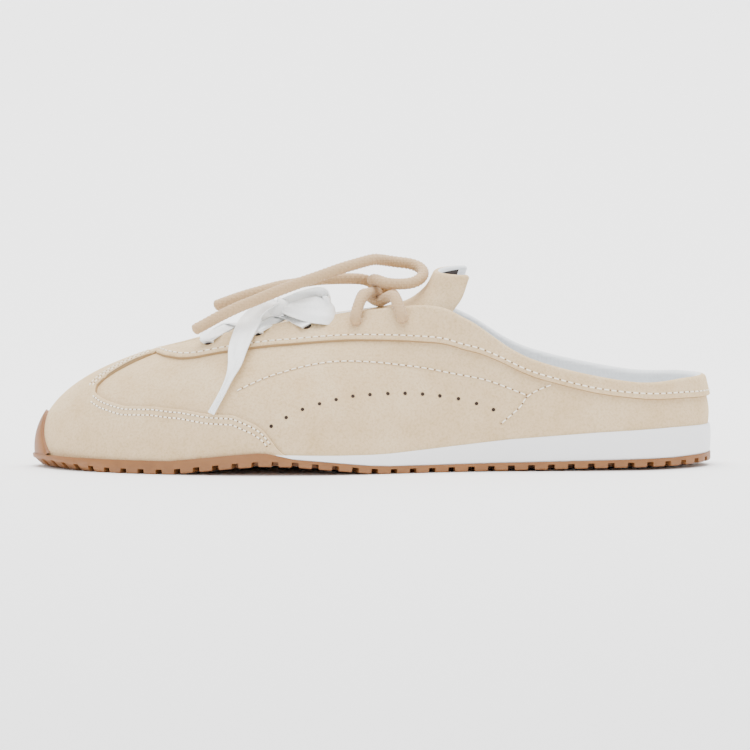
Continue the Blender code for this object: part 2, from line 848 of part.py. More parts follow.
def as_mesh(made, home):
    """Makes a curve object a closed mesh of the same name."""
    name = made.name
    graph = bpy.context.evaluated_depsgraph_get()
    mesh = bpy.data.meshes.new_from_object(made.evaluated_get(graph))
    mesh.name = name
    tool = bmesh.new()
    tool.from_mesh(mesh)
    bmesh.ops.remove_doubles(tool, verts=tool.verts, dist=0.00001)
    tool.to_mesh(mesh)
    tool.free()
    place = made.matrix_world.copy()
    bpy.data.objects.remove(made)
    solid = bpy.data.objects.new(name, mesh)
    solid.matrix_world = place
    home.objects.link(solid)
    return solid


def strap(name, points, widths, thickness, face_up, home, look):
    """A flat ribbon along points, its face turned to the given directions."""
    verts = []
    count = len(points)
    for k, point in enumerate(points):
        ahead = points[min(k + 1, count - 1)] - points[max(k - 1, 0)]
        side = ahead.cross(face_up[k]).normalized()
        top = side.cross(ahead).normalized()
        half = side * widths[k] / 2
        rise = top * thickness / 2
        verts += [point - half - rise, point + half - rise, point + half + rise, point - half + rise]
    faces = [(0, 1, 2, 3)]
    for k in range(count - 1):
        a = 4 * k
        for m in range(4):
            n = (m + 1) % 4
            faces.append((a + m, a + 4 + m, a + 4 + n, a + n))
    end = 4 * (count - 1)
    faces.append((end + 3, end + 2, end + 1, end))
    made = mesh_object(name, verts, faces, home, look)
    return made


def crossing(start, end, rise, lead):
    """A path from one eyelet over the throat to another, arched by rise."""
    middle = (start + end) / 2 + Vector((0, 0, rise))
    first = start + (middle - start) * lead + Vector((0, 0, rise * 0.6))
    last = end + (middle - end) * lead + Vector((0, 0, rise * 0.6))
    return smooth_path([start, first, middle, last, end], 10)


def facing(start, end, steps):
    """Directions that turn from one end's by straight up to the other end's."""
    up = Vector((0, 0, 1))
    turned = []
    for k in range(steps):
        share = k / (steps - 1)
        if share < 0.5:
            turned.append(start.lerp(up, 2 * share).normalized())
        else:
            turned.append(up.lerp(end, 2 * share - 1).normalized())
    return turned


def make_ribbon_lacing(home, cutters, look):
    """Flat crossings between the three lower pairs of eyelets, joined where they cross."""
    spots = [(eyelet(k, True, RIBBON_LIFT), eyelet(k, False, RIBBON_LIFT)) for k in range(3)]
    runs = [(spots[0][0], spots[0][1])]
    for k in range(2):
        runs.append((spots[k][0], spots[k + 1][1]))
        runs.append((spots[k][1], spots[k + 1][0]))
    made = None
    for k, (start, end) in enumerate(runs):
        path = crossing(start[0], end[0], RIBBON_RISE, 0.45)
        up = facing(start[1], end[1], len(path))
        widths = [RIBBON_WIDTH] * len(path)
        step = Vector((0, 0, RIBBON_STEP * k))
        path = [p + step for p in path]
        if made is None:
            made = strap("ribbon_lacing", path, widths, RIBBON_THICK, up, home, look)
            continue
        other = strap("ribbon_run_%d" % k, path, widths, RIBBON_THICK, up, cutters, None)
        hide_cutter(other)
        boolean(made, other, "UNION")
    return made


def make_cord_lacing(home, cutters, look):
    """Two crossings of round cord between the two upper pairs of eyelets."""
    lift = CORD_LIFT
    a = (eyelet(3, True, lift)[0], eyelet(3, False, lift)[0])
    b = (eyelet(4, True, lift)[0], eyelet(4, False, lift)[0])
    meet = (a[0] + a[1] + b[0] + b[1]) / 4
    meet.z = INSTEP_HEIGHT + CORD_MEET
    made = None
    for k, (start, end) in enumerate(((a[0], b[1]), (b[0], a[1]))):
        path = smooth_path([start, shoulder(start, meet), meet, shoulder(end, meet), end], 12)
        other = tube("cord_run_%d" % k, path, CORD, cutters if k else home, look)
        other = as_mesh(other, cutters if k else home)
        if made is None:
            made = other
            made.name = "cord_lacing"
        else:
            hide_cutter(other)
            boolean(made, other, "UNION")
    return made


def shoulder(eye, meet):
    """Where a leg of cord, up from its eyelet, bends over towards the middle."""
    point = eye.lerp(meet, CORD_SHOULDER)
    point.z = meet.z - CORD_DIP
    return point


def make_cord_loop(home, look):
    """The ring of cord that lies on the crossings, its outer side a little lower."""
    tilt = math.radians(LOOP_TILT)
    points = []
    steps = 20
    for k in range(steps):
        turn = 2 * math.pi * k / steps
        across = LOOP_RADIUS * math.sin(turn)
        points.append(lace_point(LOOP_PLACE) + Vector((
            LOOP_RADIUS * math.cos(turn), across * math.cos(tilt), across * math.sin(tilt))))
    return tube("cord_loop", points, CORD, home, look, closed=True)


def make_cord_end(name, route, home, look):
    points = [lace_point(row) for row in route]
    return tube(name, smooth_path(points, 14), CORD_END, home, look)


def on_skin(along, height, outer_side, lift):
    """A point over the upper at a distance along and a height, and the way it faces."""
    start, end = (2.0, 6.0) if outer_side else (ROWS - 2.0, ROWS - 6.0)
    best, near = None, SHOE_LENGTH
    for k in range(81):
        place = start + (end - start) * k / 80
        level = level_at_height(place, lambda here: height)
        miss = abs(skin(place, level).x - along)
        if miss < near:
            best, near = (place, level), miss
    out = skin_normal(*best)
    return skin(*best) + out * (GAP + OVERLAY + lift), out


def make_tail(name, rows, outer_side, home, look):
    """A ribbon tail from the pinch over the throat's edge and down the side."""
    side = -1.0 if outer_side else 1.0
    table = []
    for along, down, rise, width in TAIL_START:
        point = lace_point(BOW_PINCH) + lace_point((along, side * down, rise))
        table.append((*point, 0.0, 0.4 * side, 0.9, width))
    for along, height, width, lift in rows:
        point, out = on_skin(along * SHOE_LENGTH, height * INSTEP_HEIGHT, outer_side,
                             lift * TAIL_LIFT)
        table.append((*point, *out, width))
    return ribbon_from(name, table, 16, TAIL_WIDTH, home, look)


def ribbon_from(name, table, steps, width, home, look):
    """A ribbon along a table of middle points, faces and shares of the width."""
    read = smooth_rows(table, BOW_COLUMNS)
    points, faces, widths = [], [], []
    for k in range(steps + 1):
        row = read((len(table) - 1) * k / steps)
        points.append(Vector((row["x"], row["y"], row["z"])))
        faces.append(Vector((row["face_x"], row["face_y"], row["face_z"])).normalized())
        widths.append(row["width"] * width)
    return strap(name, points, widths, RIBBON_THICK, faces, home, look)


def make_ribbon_bow(home, cutters, look):
    """Two loops, the inner one a smaller mirror image, joined by a pinched knot."""
    pinch = lace_point(BOW_PINCH)
    knot = bmesh.new()
    size = Matrix.Diagonal((*BOW_KNOT, 1.0))
    bmesh.ops.create_uvsphere(knot, u_segments=10, v_segments=6, radius=1.0,
                              matrix=Matrix.Translation(pinch) @ size)
    mesh = bpy.data.meshes.new("ribbon_bow")
    knot.to_mesh(mesh)
    knot.free()
    made = bpy.data.objects.new("ribbon_bow", mesh)
    home.objects.link(made)
    mesh.materials.append(look)
    for k, (side, size, drop) in enumerate(((1.0, 1.0, 0.0), (-1.0, INNER_LOOP, INNER_DROP))):
        table = []
        for x, y, z, face_x, face_y, face_z, width in BOW_LOOP:
            point = pinch + lace_point((size * x, side * size * y, z)) - Vector((0, 0, drop))
            table.append((*point, face_x, side * face_y, face_z, size * width))
        loop = ribbon_from("bow_loop_%d" % k, table, 13, BOW_WIDTH, cutters, None)
        if side < 0:
            loop.data.flip_normals()
        hide_cutter(loop)
        boolean(made, loop, "UNION")
    return made


def build():
    clear_scene()
    home = collection("sneaker_mule")
    cutters = collection("cutters")
    suede = material("suede", (0.76, 0.68, 0.56), 0.9)
    suede_overlay = material("suede_overlay", (0.80, 0.72, 0.60), 0.9)
    gum = material("gum_rubber", (0.58, 0.36, 0.20), 0.55)
    foam = material("foam", (0.87, 0.88, 0.89), 0.6)
    sock = material("sock", (0.85, 0.86, 0.87), 0.8)
    satin = material("satin", (0.90, 0.92, 0.92), 0.4)
    braid = material("braid", (0.74, 0.63, 0.50), 0.8)

    make_upper(home, suede)
    make_toe_overlay(home, suede_overlay)
    make_collar_band(home, suede_overlay)
    outsole = make_outsole_body(home, gum)
    boolean(outsole, make_toe_guard(cutters), "UNION")
    boolean(outsole, make_groove_cutter(cutters), "DIFFERENCE")
    make_midsole(home, foam)
    make_insole(home, sock)
    make_tongue(home, suede)
    make_ribbon_lacing(home, cutters, satin)
    make_ribbon_bow(home, cutters, satin)
    make_tail("ribbon_tail_outer", TAIL_OUTER, True, home, satin)
    make_tail("ribbon_tail_inner", TAIL_INNER, False, home, satin)
    make_cord_lacing(home, cutters, braid)
    make_cord_loop(home, braid)
    make_cord_end("cord_end_long", CORD_END_LONG, home, braid)
    make_cord_end("cord_end_short", CORD_END_SHORT, home, braid)


build()
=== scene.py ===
"""Looks of a left sneaker mule: suede upper, white foam wedge, gum sole, cord and ribbon."""

import math

import bpy
import numpy as np
from mathutils import Matrix, Vector


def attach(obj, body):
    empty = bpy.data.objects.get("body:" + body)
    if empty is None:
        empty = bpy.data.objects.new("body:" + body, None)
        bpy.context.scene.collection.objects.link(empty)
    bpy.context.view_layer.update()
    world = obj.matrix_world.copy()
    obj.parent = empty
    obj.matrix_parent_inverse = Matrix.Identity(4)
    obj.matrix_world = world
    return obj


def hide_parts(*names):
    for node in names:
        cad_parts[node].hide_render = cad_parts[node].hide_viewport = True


bl_info = {
    "name": "Sneaker mule looks",
    "version": (1, 0, 0),
    "blender": (4, 5, 0),
    "location": "3D View > Sidebar > Mule",
    "description": "Builds the finished surfaces of a left sneaker mule over its packed frame",
    "category": "Object",
}

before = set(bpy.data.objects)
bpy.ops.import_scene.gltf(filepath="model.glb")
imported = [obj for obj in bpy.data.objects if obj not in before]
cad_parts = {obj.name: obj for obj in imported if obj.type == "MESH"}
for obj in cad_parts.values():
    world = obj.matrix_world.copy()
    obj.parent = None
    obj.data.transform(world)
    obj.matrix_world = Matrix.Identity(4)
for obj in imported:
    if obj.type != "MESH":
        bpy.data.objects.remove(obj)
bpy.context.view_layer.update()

MM = 0.001

# The camera: metres from the shoe, the height that it looks at, degrees, and its lens.
CAMERA_AWAY = 1.4
CAMERA_AIM = 0.035
CAMERA_PITCH = 3.0
CAMERA_ROLL = -0.30
CAMERA_LENS = 172.2
CAMERA_SENSOR = 36.0
CAMERA_SHIFT = (0.0068, 0.0025)

# The sole's own sizes, as in the part.
ARCH_RISE = 3.4 * MM
SOLE_REAR = 3.0 * MM
SOLE_FORE = 5.2 * MM
HEEL_STACK = 16.0 * MM
FORE_INSET = 2.6 * MM
REAR_INSET = 1.0 * MM
TOE_INSET = 4.4 * MM
UPPER_SEAT = 0.55 * MM
LUG_PITCH = 7.65 * MM
GROOVE_WIDTH = 2.7 * MM
GROOVE_HEIGHT = 1.9 * MM
GROOVE_DEPTH = 7.0 * MM
INSOLE_THICK = 3.2 * MM
GUARD_HEIGHT = 15.0 * MM

# The shoe's own shape, as in the part. One row a station from the toe tip by the outer side
# to the heel, row 11, and back by the inner side. along, rim_along: shares of the length.
# across, rim_across: shares of the width there. rise: the opening's height. wall, crown_down:
# shares of the side's height. crown_out: share of the way to the edge. swell: of the swell.
STATIONS = (
    (-0.500, 0.100, -0.294, 0.044, 0.39, 0.45, 1.0, 0.66, 0.20),
    (-0.457, -0.130, -0.288, -0.035, 0.40, 0.45, 1.0, 0.64, 0.20),
    (-0.387, -0.295, -0.268, -0.085, 0.45, 0.45, 1.0, 0.60, 0.20),
    (-0.294, -0.430, -0.222, -0.108, 0.57, 0.44, 1.0, 0.56, 0.20),
    (-0.177, -0.520, -0.145, -0.120, 0.71, 0.44, 0.9, 0.54, 0.22),
    (-0.038, -0.530, -0.030, -0.165, 0.89, 0.41, 0.7, 0.42, 0.26),
    (0.092, -0.510, 0.083, -0.285, 1.00, 0.36, 0.6, 0.35, 0.29),
    (0.165, -0.515, 0.143, -0.385, 0.80, 0.36, 0.5, 0.30, 0.30),
    (0.265, -0.520, 0.233, -0.435, 0.27, 0.36, 0.5, 0.30, 0.30),
    (0.400, -0.480, 0.376, -0.425, -0.05, 0.35, 0.5, 0.30, 0.30),
    (0.474, -0.275, 0.459, -0.240, -0.02, 0.35, 0.5, 0.30, 0.30),
    (0.500, 0.000, 0.487, 0.000, 0.01, 0.35, 0.5, 0.35, 0.30),
    (0.474, 0.265, 0.459, 0.230, 0.03, 0.35, 0.5, 0.30, 0.30),
    (0.400, 0.450, 0.376, 0.395, 0.05, 0.35, 0.5, 0.30, 0.30),
    (0.265, 0.465, 0.233, 0.395, 0.36, 0.36, 0.5, 0.30, 0.30),
    (0.165, 0.415, 0.143, 0.340, 0.84, 0.36, 0.5, 0.30, 0.30),
    (0.092, 0.385, 0.083, 0.250, 1.00, 0.36, 0.6, 0.35, 0.29),
    (-0.038, 0.405, -0.030, 0.160, 0.89, 0.41, 0.7, 0.42, 0.26),
    (-0.177, 0.465, -0.145, 0.135, 0.71, 0.44, 0.9, 0.54, 0.22),
    (-0.297, 0.480, -0.222, 0.140, 0.57, 0.44, 1.0, 0.56, 0.20),
    (-0.397, 0.428, -0.268, 0.140, 0.45, 0.45, 1.0, 0.60, 0.20),
    (-0.472, 0.290, -0.288, 0.115, 0.40, 0.45, 1.0, 0.64, 0.20),
)
ROWS = len(STATIONS)

# The sole from the side: along, arch, fore, wedge, as in the part.
SIDE = np.array((
    (-0.500, 0.00, 1.0, 0.00),
    (-0.290, 0.00, 1.0, 0.00),
    (-0.200, 0.75, 1.0, 0.18),
    (-0.160, 1.00, 1.0, 0.24),
    (-0.145, 1.00, 0.9, 0.23),
    (-0.110, 0.95, 0.0, 0.215),
    (-0.050, 0.50, 0.0, 0.19),
    (0.000, 0.10, 0.0, 0.19),
    (0.030, 0.00, 0.0, 0.22),
    (0.085, 0.00, 0.0, 0.34),
    (0.140, 0.05, 0.0, 0.48),
    (0.200, 0.14, 0.0, 0.64),
    (0.325, 0.32, 0.0, 0.86),
    (0.440, 0.42, 0.1, 1.00),
    (0.500, 0.60, 0.2, 1.02),
))

# Seams on the outer side as (place, level): place counts stations, level runs from the sole
# to the opening. The inner side mirrors them.
CAP_EDGE = (
    (0.00, 0.960), (0.80, 0.956), (0.84, 0.945), (0.88, 0.870), (0.91, 0.774), (0.94, 0.636),
    (1.04, 0.549), (1.23, 0.491), (1.34, 0.472), (1.69, 0.422), (2.20, 0.368), (2.69, 0.359),
    (3.12, 0.327), (3.51, 0.273), (3.83, 0.246), (4.06, 0.182), (4.18, 0.134), (4.28, 0.068),
    (4.38, 0.005), (4.46, -0.02),
)
BAND_EDGE = (
    (0.00, 0.930), (0.88, 0.925), (1.60, 0.885), (2.17, 0.826), (2.64, 0.766), (2.94, 0.753),
    (3.29, 0.766), (3.94, 0.768), (4.63, 0.763), (5.07, 0.756), (5.86, 0.710), (6.73, 0.700),
    (7.58, 0.735), (8.18, 0.700), (8.58, 0.630), (9.09, 0.600), (9.98, 0.545), (11.0, 0.520),
)
ARC_STITCH = (
    (3.81, 0.421), (4.11, 0.498), (4.46, 0.573), (4.86, 0.608), (5.29, 0.592), (5.72, 0.549),
    (6.32, 0.503), (7.07, 0.496), (7.46, 0.479), (7.75, 0.450),
)
REAR_STITCH = ((8.13, 0.668), (7.75, 0.444), (7.60, 0.311), (7.41, 0.200), (7.18, 0.093))
VENT_HOLES = (
    (4.26, 0.166), (4.41, 0.229), (4.57, 0.281), (4.74, 0.316), (4.91, 0.342), (5.09, 0.362),
    (5.27, 0.370), (5.46, 0.372), (5.65, 0.368), (5.86, 0.357), (6.11, 0.341), (6.49, 0.321),
    (6.89, 0.292), (7.17, 0.250),
)
EYELETS = ((3.03, 0.888), (3.89, 0.899), (4.51, 0.904), (5.11, 0.898), (5.65, 0.894))

# The tongue: along, height, half, back, drop, as in the part, a little wider in front.
TONGUE = (
    (-0.318, 0.648, 0.64, 0.00, 0.10),
    (-0.263, 0.730, 0.78, 0.05, 0.30),
    (-0.170, 0.838, 0.88, 0.10, 0.48),
    (-0.075, 0.920, 0.97, 0.20, 0.60),
    (0.005, 0.975, 1.00, 0.35, 0.66),
    (0.052, 1.020, 1.02, 0.55, 0.58),
    (0.080, 1.100, 1.00, 0.70, 0.28),
    (0.094, 1.195, 0.98, 0.72, 0.04),
)

# Lace routes, millimetres: along, across and up.
LONG_ROUTE = (
    (9.0, 1.5, 69.8), (4.5, 3.0, 70.6), (1.4, 1.2, 72.4), (2.4, -2.8, 73.0), (6.6, -7.6, 71.8),
    (11.4, -8.8, 71.4), (16.2, -7.6, 71.8), (19.7, -4.2, 73.3), (21.0, 0.4, 75.4),
    (19.7, 5.0, 77.4), (16.2, 8.4, 78.8), (11.4, 9.4, 79.5), (7.4, 8.0, 80.1), (4.4, 4.4, 80.6),
    (1.0, 0.6, 80.7), (-5.8, -3.6, 79.0), (-11.7, -6.5, 77.3), (-19.5, -9.0, 74.6),
    (-27.3, -11.2, 72.0), (-35.0, -12.6, 69.2), (-42.9, -13.6, 66.0), (-50.7, -14.6, 62.9),
    (-57.7, -15.8, 59.6), (-63.6, -16.8, 56.4), (-68.2, -17.4, 54.0),
)
SHORT_ROUTE = (
    (3.0, 7.2, 70.6), (-2.0, 5.2, 72.8), (-8.0, 3.6, 73.3), (-17.5, 3.8, 73.1),
    (-23.4, 4.2, 72.5), (-29.2, 4.0, 71.4), (-35.0, 2.0, 70.6), (-42.9, -1.6, 68.6),
    (-50.7, -4.4, 66.4), (-60.4, -6.0, 63.0),
)
BOW_PINCH = (-34.5, -5.0, 63.8)


def metres(name, default, about):
    return bpy.props.FloatProperty(name=name, description=about, default=default, unit="LENGTH")


class MuleSizes(bpy.types.PropertyGroup):
    """Real sizes of the shoe."""

    length: metres("Length", 0.266, "Sole from toe to heel")
    ball_width: metres("Ball width", 0.090, "Width that the front follows")
    heel_width: metres("Heel width", 0.0625, "Width that the back follows")
    instep: metres("Instep height", 0.0635, "Highest point of the opening")
    collar: metres("Collar height", 0.0355, "Opening at the heel")
    wall: metres("Wall", 0.0026, "Upper with its lining")
    overlay: metres("Overlay", 0.0015, "Thickness of a suede overlay")
    swell: metres("Swell", 0.0025, "How far the side stands out")
    stitch_pitch: metres("Stitch pitch", 0.0028, "From one stitch to the next")
    fine_pitch: metres("Fine stitch pitch", 0.0019, "The same, on the toe cap")
    thread: metres("Thread", 0.00055, "Thickness of the sewing thread")
    vent: metres("Vent hole", 0.0014, "Width of a punched hole")
    cord: metres("Cord", 0.0043, "Thickness of the round lace")
    ribbon: metres("Ribbon", 0.0070, "Width of the ribbon in the eyelets")
    tail: metres("Ribbon tail", 0.0095, "Width of the ribbon's tails")


def linear(code):
    """An sRGB hex colour as linear values."""
    parts = [int(code[k:k + 2], 16) / 255 for k in (1, 3, 5)]
    return [c / 12.92 if c <= 0.04045 else ((c + 0.055) / 1.055) ** 2.4 for c in parts]


def colour(name, code, about):
    return bpy.props.FloatVectorProperty(
        name=name, description=about, default=linear(code), subtype="COLOR", size=3)


class MuleColours(bpy.types.PropertyGroup):
    """Colours of the shoe."""

    suede: colour("Suede", "#D0B48A", "Side of the upper")
    suede_pale: colour("Pale suede", "#DFC8A2", "Where the nap is brushed up")
    gum: colour("Gum rubber", "#86572C", "Outsole")
    foam: colour("Foam", "#F1F2F4", "Midsole wedge")
    lining: colour("Lining", "#E3E6E8", "Inside of the upper")
    cord: colour("Cord", "#BFA079", "Round lace")
    ribbon: colour("Ribbon", "#F8FAFA", "Satin ribbon")
    thread: colour("Thread", "#FFF6E4", "Stitches")
    label: colour("Label", "#2D2623", "Bare label in the tongue")
    # The cut edge colour is partly the raw suede edge's own darker tone and partly painted shade
    # along the overlay seams.
    cut_edge_and_seam_shade: colour("Cut edge", "#9C7F58", "Raw edge of the suede")
    # Pinhole is painted shade: a dark brown standing for the shade inside each needle hole.
    pinhole_shade: colour("Pinhole", "#6E5338", "Where the needle went in")
    # Hole is painted shade: a near-black standing for the shade inside the vent holes and eyelets.
    hole: colour("Hole", "#2E2119", "Inside of a punched hole")
    floor: colour("Floor", "#FFFFFF", "Studio floor and wall")


def sizes():
    return bpy.context.scene.mule_sizes


def colours():
    return bpy.context.scene.mule_colours


# Shape

def eased(value, low, high):
    share = np.clip((np.asarray(value, float) - low) / (high - low), 0.0, 1.0)
    return share * share * (3 - 2 * share)


def rows_at(table, places, closed=True):
    """A cubic curve through every column of a table, at many places."""
    data = np.array(table, float)
    count = len(data)
    places = np.asarray(places, float)
    if not closed:
        data = np.vstack([2 * data[0] - data[1], data, 2 * data[-1] - data[-2]])
        places = np.clip(places, 0, count - 1 - 1e-9)
    low = np.floor(places).astype(int)
    share = (places - low)[..., None]
    if closed:
        a, b, c, d = (data[(low + k) % count] for k in (-1, 0, 1, 2))
    else:
        a, b, c, d = (data[low + k] for k in range(4))
    return 0.5 * (2 * b + (c - a) * share + (2 * a - 5 * b + 4 * c - d) * share ** 2
                  + (3 * b - a - 3 * c + d) * share ** 3)


def plan(along, across):
    s = sizes()
    width = s.ball_width + (s.heel_width - s.ball_width) * eased(along, -0.10, 0.20)
    return np.stack([along * s.length, across * width], -1)


def raw_outline(places):
    row = rows_at(STATIONS, places)
    return plan(row[..., 0], row[..., 1])


def plan_centre():
    spots = raw_outline(np.arange(ROWS * 40) / 40)
    return (spots.max(0) + spots.min(0)) / 2


def outline(places):
    return raw_outline(places) - plan_centre()


def outward(places):
    """The level direction out of the shoe."""
    ahead = raw_outline(places + 0.02) - raw_outline(places - 0.02)
    out = np.stack([ahead[..., 1], -ahead[..., 0]], -1)
    return out / np.linalg.norm(out, axis=-1, keepdims=True)


def side(x, column):
    return np.interp(np.asarray(x) / sizes().length, SIDE[:, 0], SIDE[:, column])


def bottom_at(x):
    return side(x, 1) * ARCH_RISE


def sole_top_at(x):
    return bottom_at(x) + SOLE_REAR + (SOLE_FORE - SOLE_REAR) * side(x, 2)


def bed_at(x):
    return np.maximum(SOLE_FORE + side(x, 3) * (HEEL_STACK - SOLE_FORE), sole_top_at(x))


def toe_share(x):
    return eased(-np.asarray(x) / sizes().length, 0.36, 0.49)


def edge_inset(x):
    back = eased(np.asarray(x) / sizes().length, -0.16, -0.10)
    inset = FORE_INSET + (REAR_INSET - FORE_INSET) * back
    return inset + (TOE_INSET - FORE_INSET) * toe_share(x)


def skin(places, levels):
    """The upper's outer face: level 0 is its lower edge, level 1 its opening."""
    s = sizes()
    places, levels = np.broadcast_arrays(np.asarray(places, float), np.asarray(levels, float))
    row = rows_at(STATIONS, places)
    flat = outline(places)
    out = outward(places)
    foot = flat - out * edge_inset(flat[..., 0])[..., None]
    foot_z = bed_at(foot[..., 0]) + UPPER_SEAT
    rim = plan(row[..., 2], row[..., 3]) - plan_centre()
    rim_z = s.collar + row[..., 4] * (s.instep - s.collar)
    height = rim_z - foot_z
    lower = foot + out * (row[..., 6] * s.swell)[..., None]
    lower_z = foot_z + row[..., 5] * height
    upper = rim + (foot - rim) * row[..., 7][..., None]
    upper_z = rim_z - row[..., 8] * height
    t = np.clip(levels, 0, 1)
    weights = [(1 - t) ** 3, 3 * (1 - t) ** 2 * t, 3 * (1 - t) * t * t, t ** 3]
    flat = sum(w[..., None] * p for w, p in zip(weights, (foot, lower, upper, rim)))
    z = sum(w * p for w, p in zip(weights, (foot_z, lower_z, upper_z, rim_z)))
    z = z + np.minimum(levels, 0) * 40 * MM
    return np.concatenate([flat, z[..., None]], -1)


def unit(vectors):
    return vectors / np.maximum(np.linalg.norm(vectors, axis=-1, keepdims=True), 1e-12)


def skin_up(places, levels):
    levels = np.clip(levels, 0, 1)
    high, low = np.minimum(levels + 0.01, 1.0), np.maximum(levels - 0.01, 0.0)
    return (skin(places, high) - skin(places, low)) / (high - low)[..., None]


def skin_normal(places, levels):
    places, levels = np.broadcast_arrays(np.asarray(places, float), np.asarray(levels, float))
    levels = np.clip(levels, 0, 1)
    along = skin(places + 0.01, levels) - skin(places - 0.01, levels)
    return unit(np.cross(along, skin_up(places, levels)))


def even_places(count, start=0.0, end=float(ROWS)):
    """Places at even distances along the sole's outline."""
    fine = np.linspace(start, end, 1600)
    flat = raw_outline(fine)
    run = np.concatenate([[0], np.cumsum(np.linalg.norm(np.diff(flat, axis=0), axis=1))])
    return np.interp(np.linspace(0, run[-1], count), run, fine)


def mirrored(places):
    """Any place as the matching one on the outer side."""
    around = np.mod(places, ROWS)
    return np.minimum(around, ROWS - around)


def seam_level(table, places, soft=0.10):
    """A seam's level at many places, with its corners softened."""
    xs, ys = zip(*table)
    total = 0
    for shift in (-1.0, -0.5, 0.0, 0.5, 1.0):
        total = total + np.interp(np.abs(mirrored(places) + shift * soft), xs, ys)
    return total / 5


def lowered(places, levels, distance):
    """Levels a distance down the skin from the given ones."""
    steep = np.linalg.norm(skin_up(places, levels), axis=-1)
    return levels - distance / steep


# Mesh helpers

def grid_faces(columns, rows, closed=False, flip=False):
    faces = []
    for j in range(columns if closed else columns - 1):
        a, b = j * rows, ((j + 1) % columns) * rows
        for i in range(rows - 1):
            face = (a + i, b + i, b + i + 1, a + i + 1)
            faces.append(face[::-1] if flip else face)
    return faces


def ring_faces(columns, count, flip=False):
    """Faces between closed rings that follow one another."""
    faces = []
    for j in range(columns - 1):
        a, b = j * count, (j + 1) * count
        for i in range(count):
            k = (i + 1) % count
            faces.append((a + i, a + k, b + k, b + i) if flip else (a + i, b + i, b + k, a + k))
    return faces


def add_mesh(name, verts, faces, looks, sharp=None):
    mesh = bpy.data.meshes.new(name)
    mesh.from_pydata([tuple(v) for v in np.asarray(verts).reshape(-1, 3)], [], faces)
    mesh.shade_smooth()
    if sharp:
        mesh.set_sharp_from_angle(angle=math.radians(sharp))
    made = bpy.data.objects.new(name, mesh)
    bpy.context.scene.collection.objects.link(made)
    for look in looks if isinstance(looks, (list, tuple)) else [looks]:
        mesh.materials.append(look)
    return made


def add_grid(name, points, look, closed=False, flip=False, sharp=None):
    columns, rows = points.shape[:2]
    return add_mesh(name, points, grid_faces(columns, rows, closed, flip), look, sharp)


def settle(piece, slot, *nodes):
    """The piece belongs to the shoe's one body and stands for the given frame nodes."""
    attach(piece, "root")
    if nodes:
        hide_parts(*nodes)
    return piece


def smooth_line(points, step):
    """Even points along a smooth curve through the given ones."""
    points = np.array(points, float)
    fine = rows_at(points, np.linspace(0, len(points) - 1, 1200), closed=False)
    run = np.concatenate([[0], np.cumsum(np.linalg.norm(np.diff(fine, axis=0), axis=1))])
    marks = np.linspace(0, run[-1], max(int(run[-1] / step), 4) + 1)
    return np.stack([np.interp(marks, run, fine[:, c]) for c in range(points.shape[1])], -1)


def frames_along(line, first=(0.0, 0.0, 1.0)):
    """Tangent, side and top directions along a line, turned as little as possible."""
    tangent = unit(np.gradient(line, axis=0))
    top = np.array(first, float)
    tops = []
    for t in tangent:
        top = top - t * (top @ t)
        top = top / np.linalg.norm(top)
        tops.append(top)
    tops = np.array(tops)
    return tangent, np.cross(tangent, tops), tops


# Materials

def add(tree, kind, values=None, links=None):
    """Adds a node with its settings and its links."""
    made = tree.nodes.new(kind)
    for key, value in (values or {}).items():
        if isinstance(key, int) or key in made.inputs:
            made.inputs[key].default_value = value
        else:
            setattr(made, key, value)
    for key, source in (links or {}).items():
        tree.links.new(source, made.inputs[key])
    return made


def new_material(name, values):
    made = bpy.data.materials.new(name)
    made.use_nodes = True
    shader = made.node_tree.nodes["Principled BSDF"]
    for key, value in values.items():
        shader.inputs[key].default_value = value
    coords = add(made.node_tree, "ShaderNodeTexCoord").outputs["Object"]
    return made, made.node_tree, shader, coords


def noise(tree, coords, size, detail=3.0, rough=0.5):
    """Noise with features of a real size in metres."""
    return add(tree, "ShaderNodeTexNoise",
               {"Scale": 1.0 / size, "Detail": detail, "Roughness": rough},
               {"Vector": coords}).outputs["Fac"]


def between(tree, factor, low, high, start=0.3, end=0.7):
    """Two colours mixed by a factor, over the given part of its range."""
    share = add(tree, "ShaderNodeMapRange", {"From Min": start, "From Max": end}, {"Value": factor})
    mix = add(tree, "ShaderNodeMix", {"data_type": "RGBA"}, {"Factor": share.outputs["Result"]})
    mix.inputs["A"].default_value = (*low, 1.0)
    mix.inputs["B"].default_value = (*high, 1.0)
    return mix.outputs["Result"]


def bumps(tree, shader, *layers):
    """Height layers, each (height, depth in metres), one over the other."""
    normal = None
    for height, depth in layers:
        links = {"Height": height}
        if normal:
            links["Normal"] = normal
        normal = add(tree, "ShaderNodeBump", {"Distance": depth, "Strength": 1.0},
                     links).outputs["Normal"]
    tree.links.new(normal, shader.inputs["Normal"])


def tinted(base, factor):
    return [min(c * factor, 1.0) for c in base]


def suede_material(name, dark, pale):
    """Cow suede, split and brushed: short nap that lies in soft pale and darker patches."""
    made, tree, shader, coords = new_material(name, {
        "Roughness": 0.95, "Specular IOR Level": 0.2, "Sheen Weight": 0.35,
        "Sheen Roughness": 0.45, "Sheen Tint": (*pale, 1.0)})
    patches = noise(tree, coords, 14 * MM, 4.0, 0.6)
    base = between(tree, patches, dark, pale, 0.25, 0.75)
    nap = noise(tree, coords, 0.9 * MM, 5.0, 0.7)
    speck = between(tree, nap, tinted(dark, 0.90), (1.0, 1.0, 1.0), 0.25, 0.55)
    mix = add(tree, "ShaderNodeMix", {"data_type": "RGBA", "blend_type": "MULTIPLY", "Factor": 0.5},
              {"A": base, "B": speck})
    tree.links.new(mix.outputs["Result"], shader.inputs["Base Color"])
    grain = noise(tree, coords, 3.2 * MM, 3.0)
    bumps(tree, shader, (grain, 0.20 * MM), (nap, 0.22 * MM))
    return made


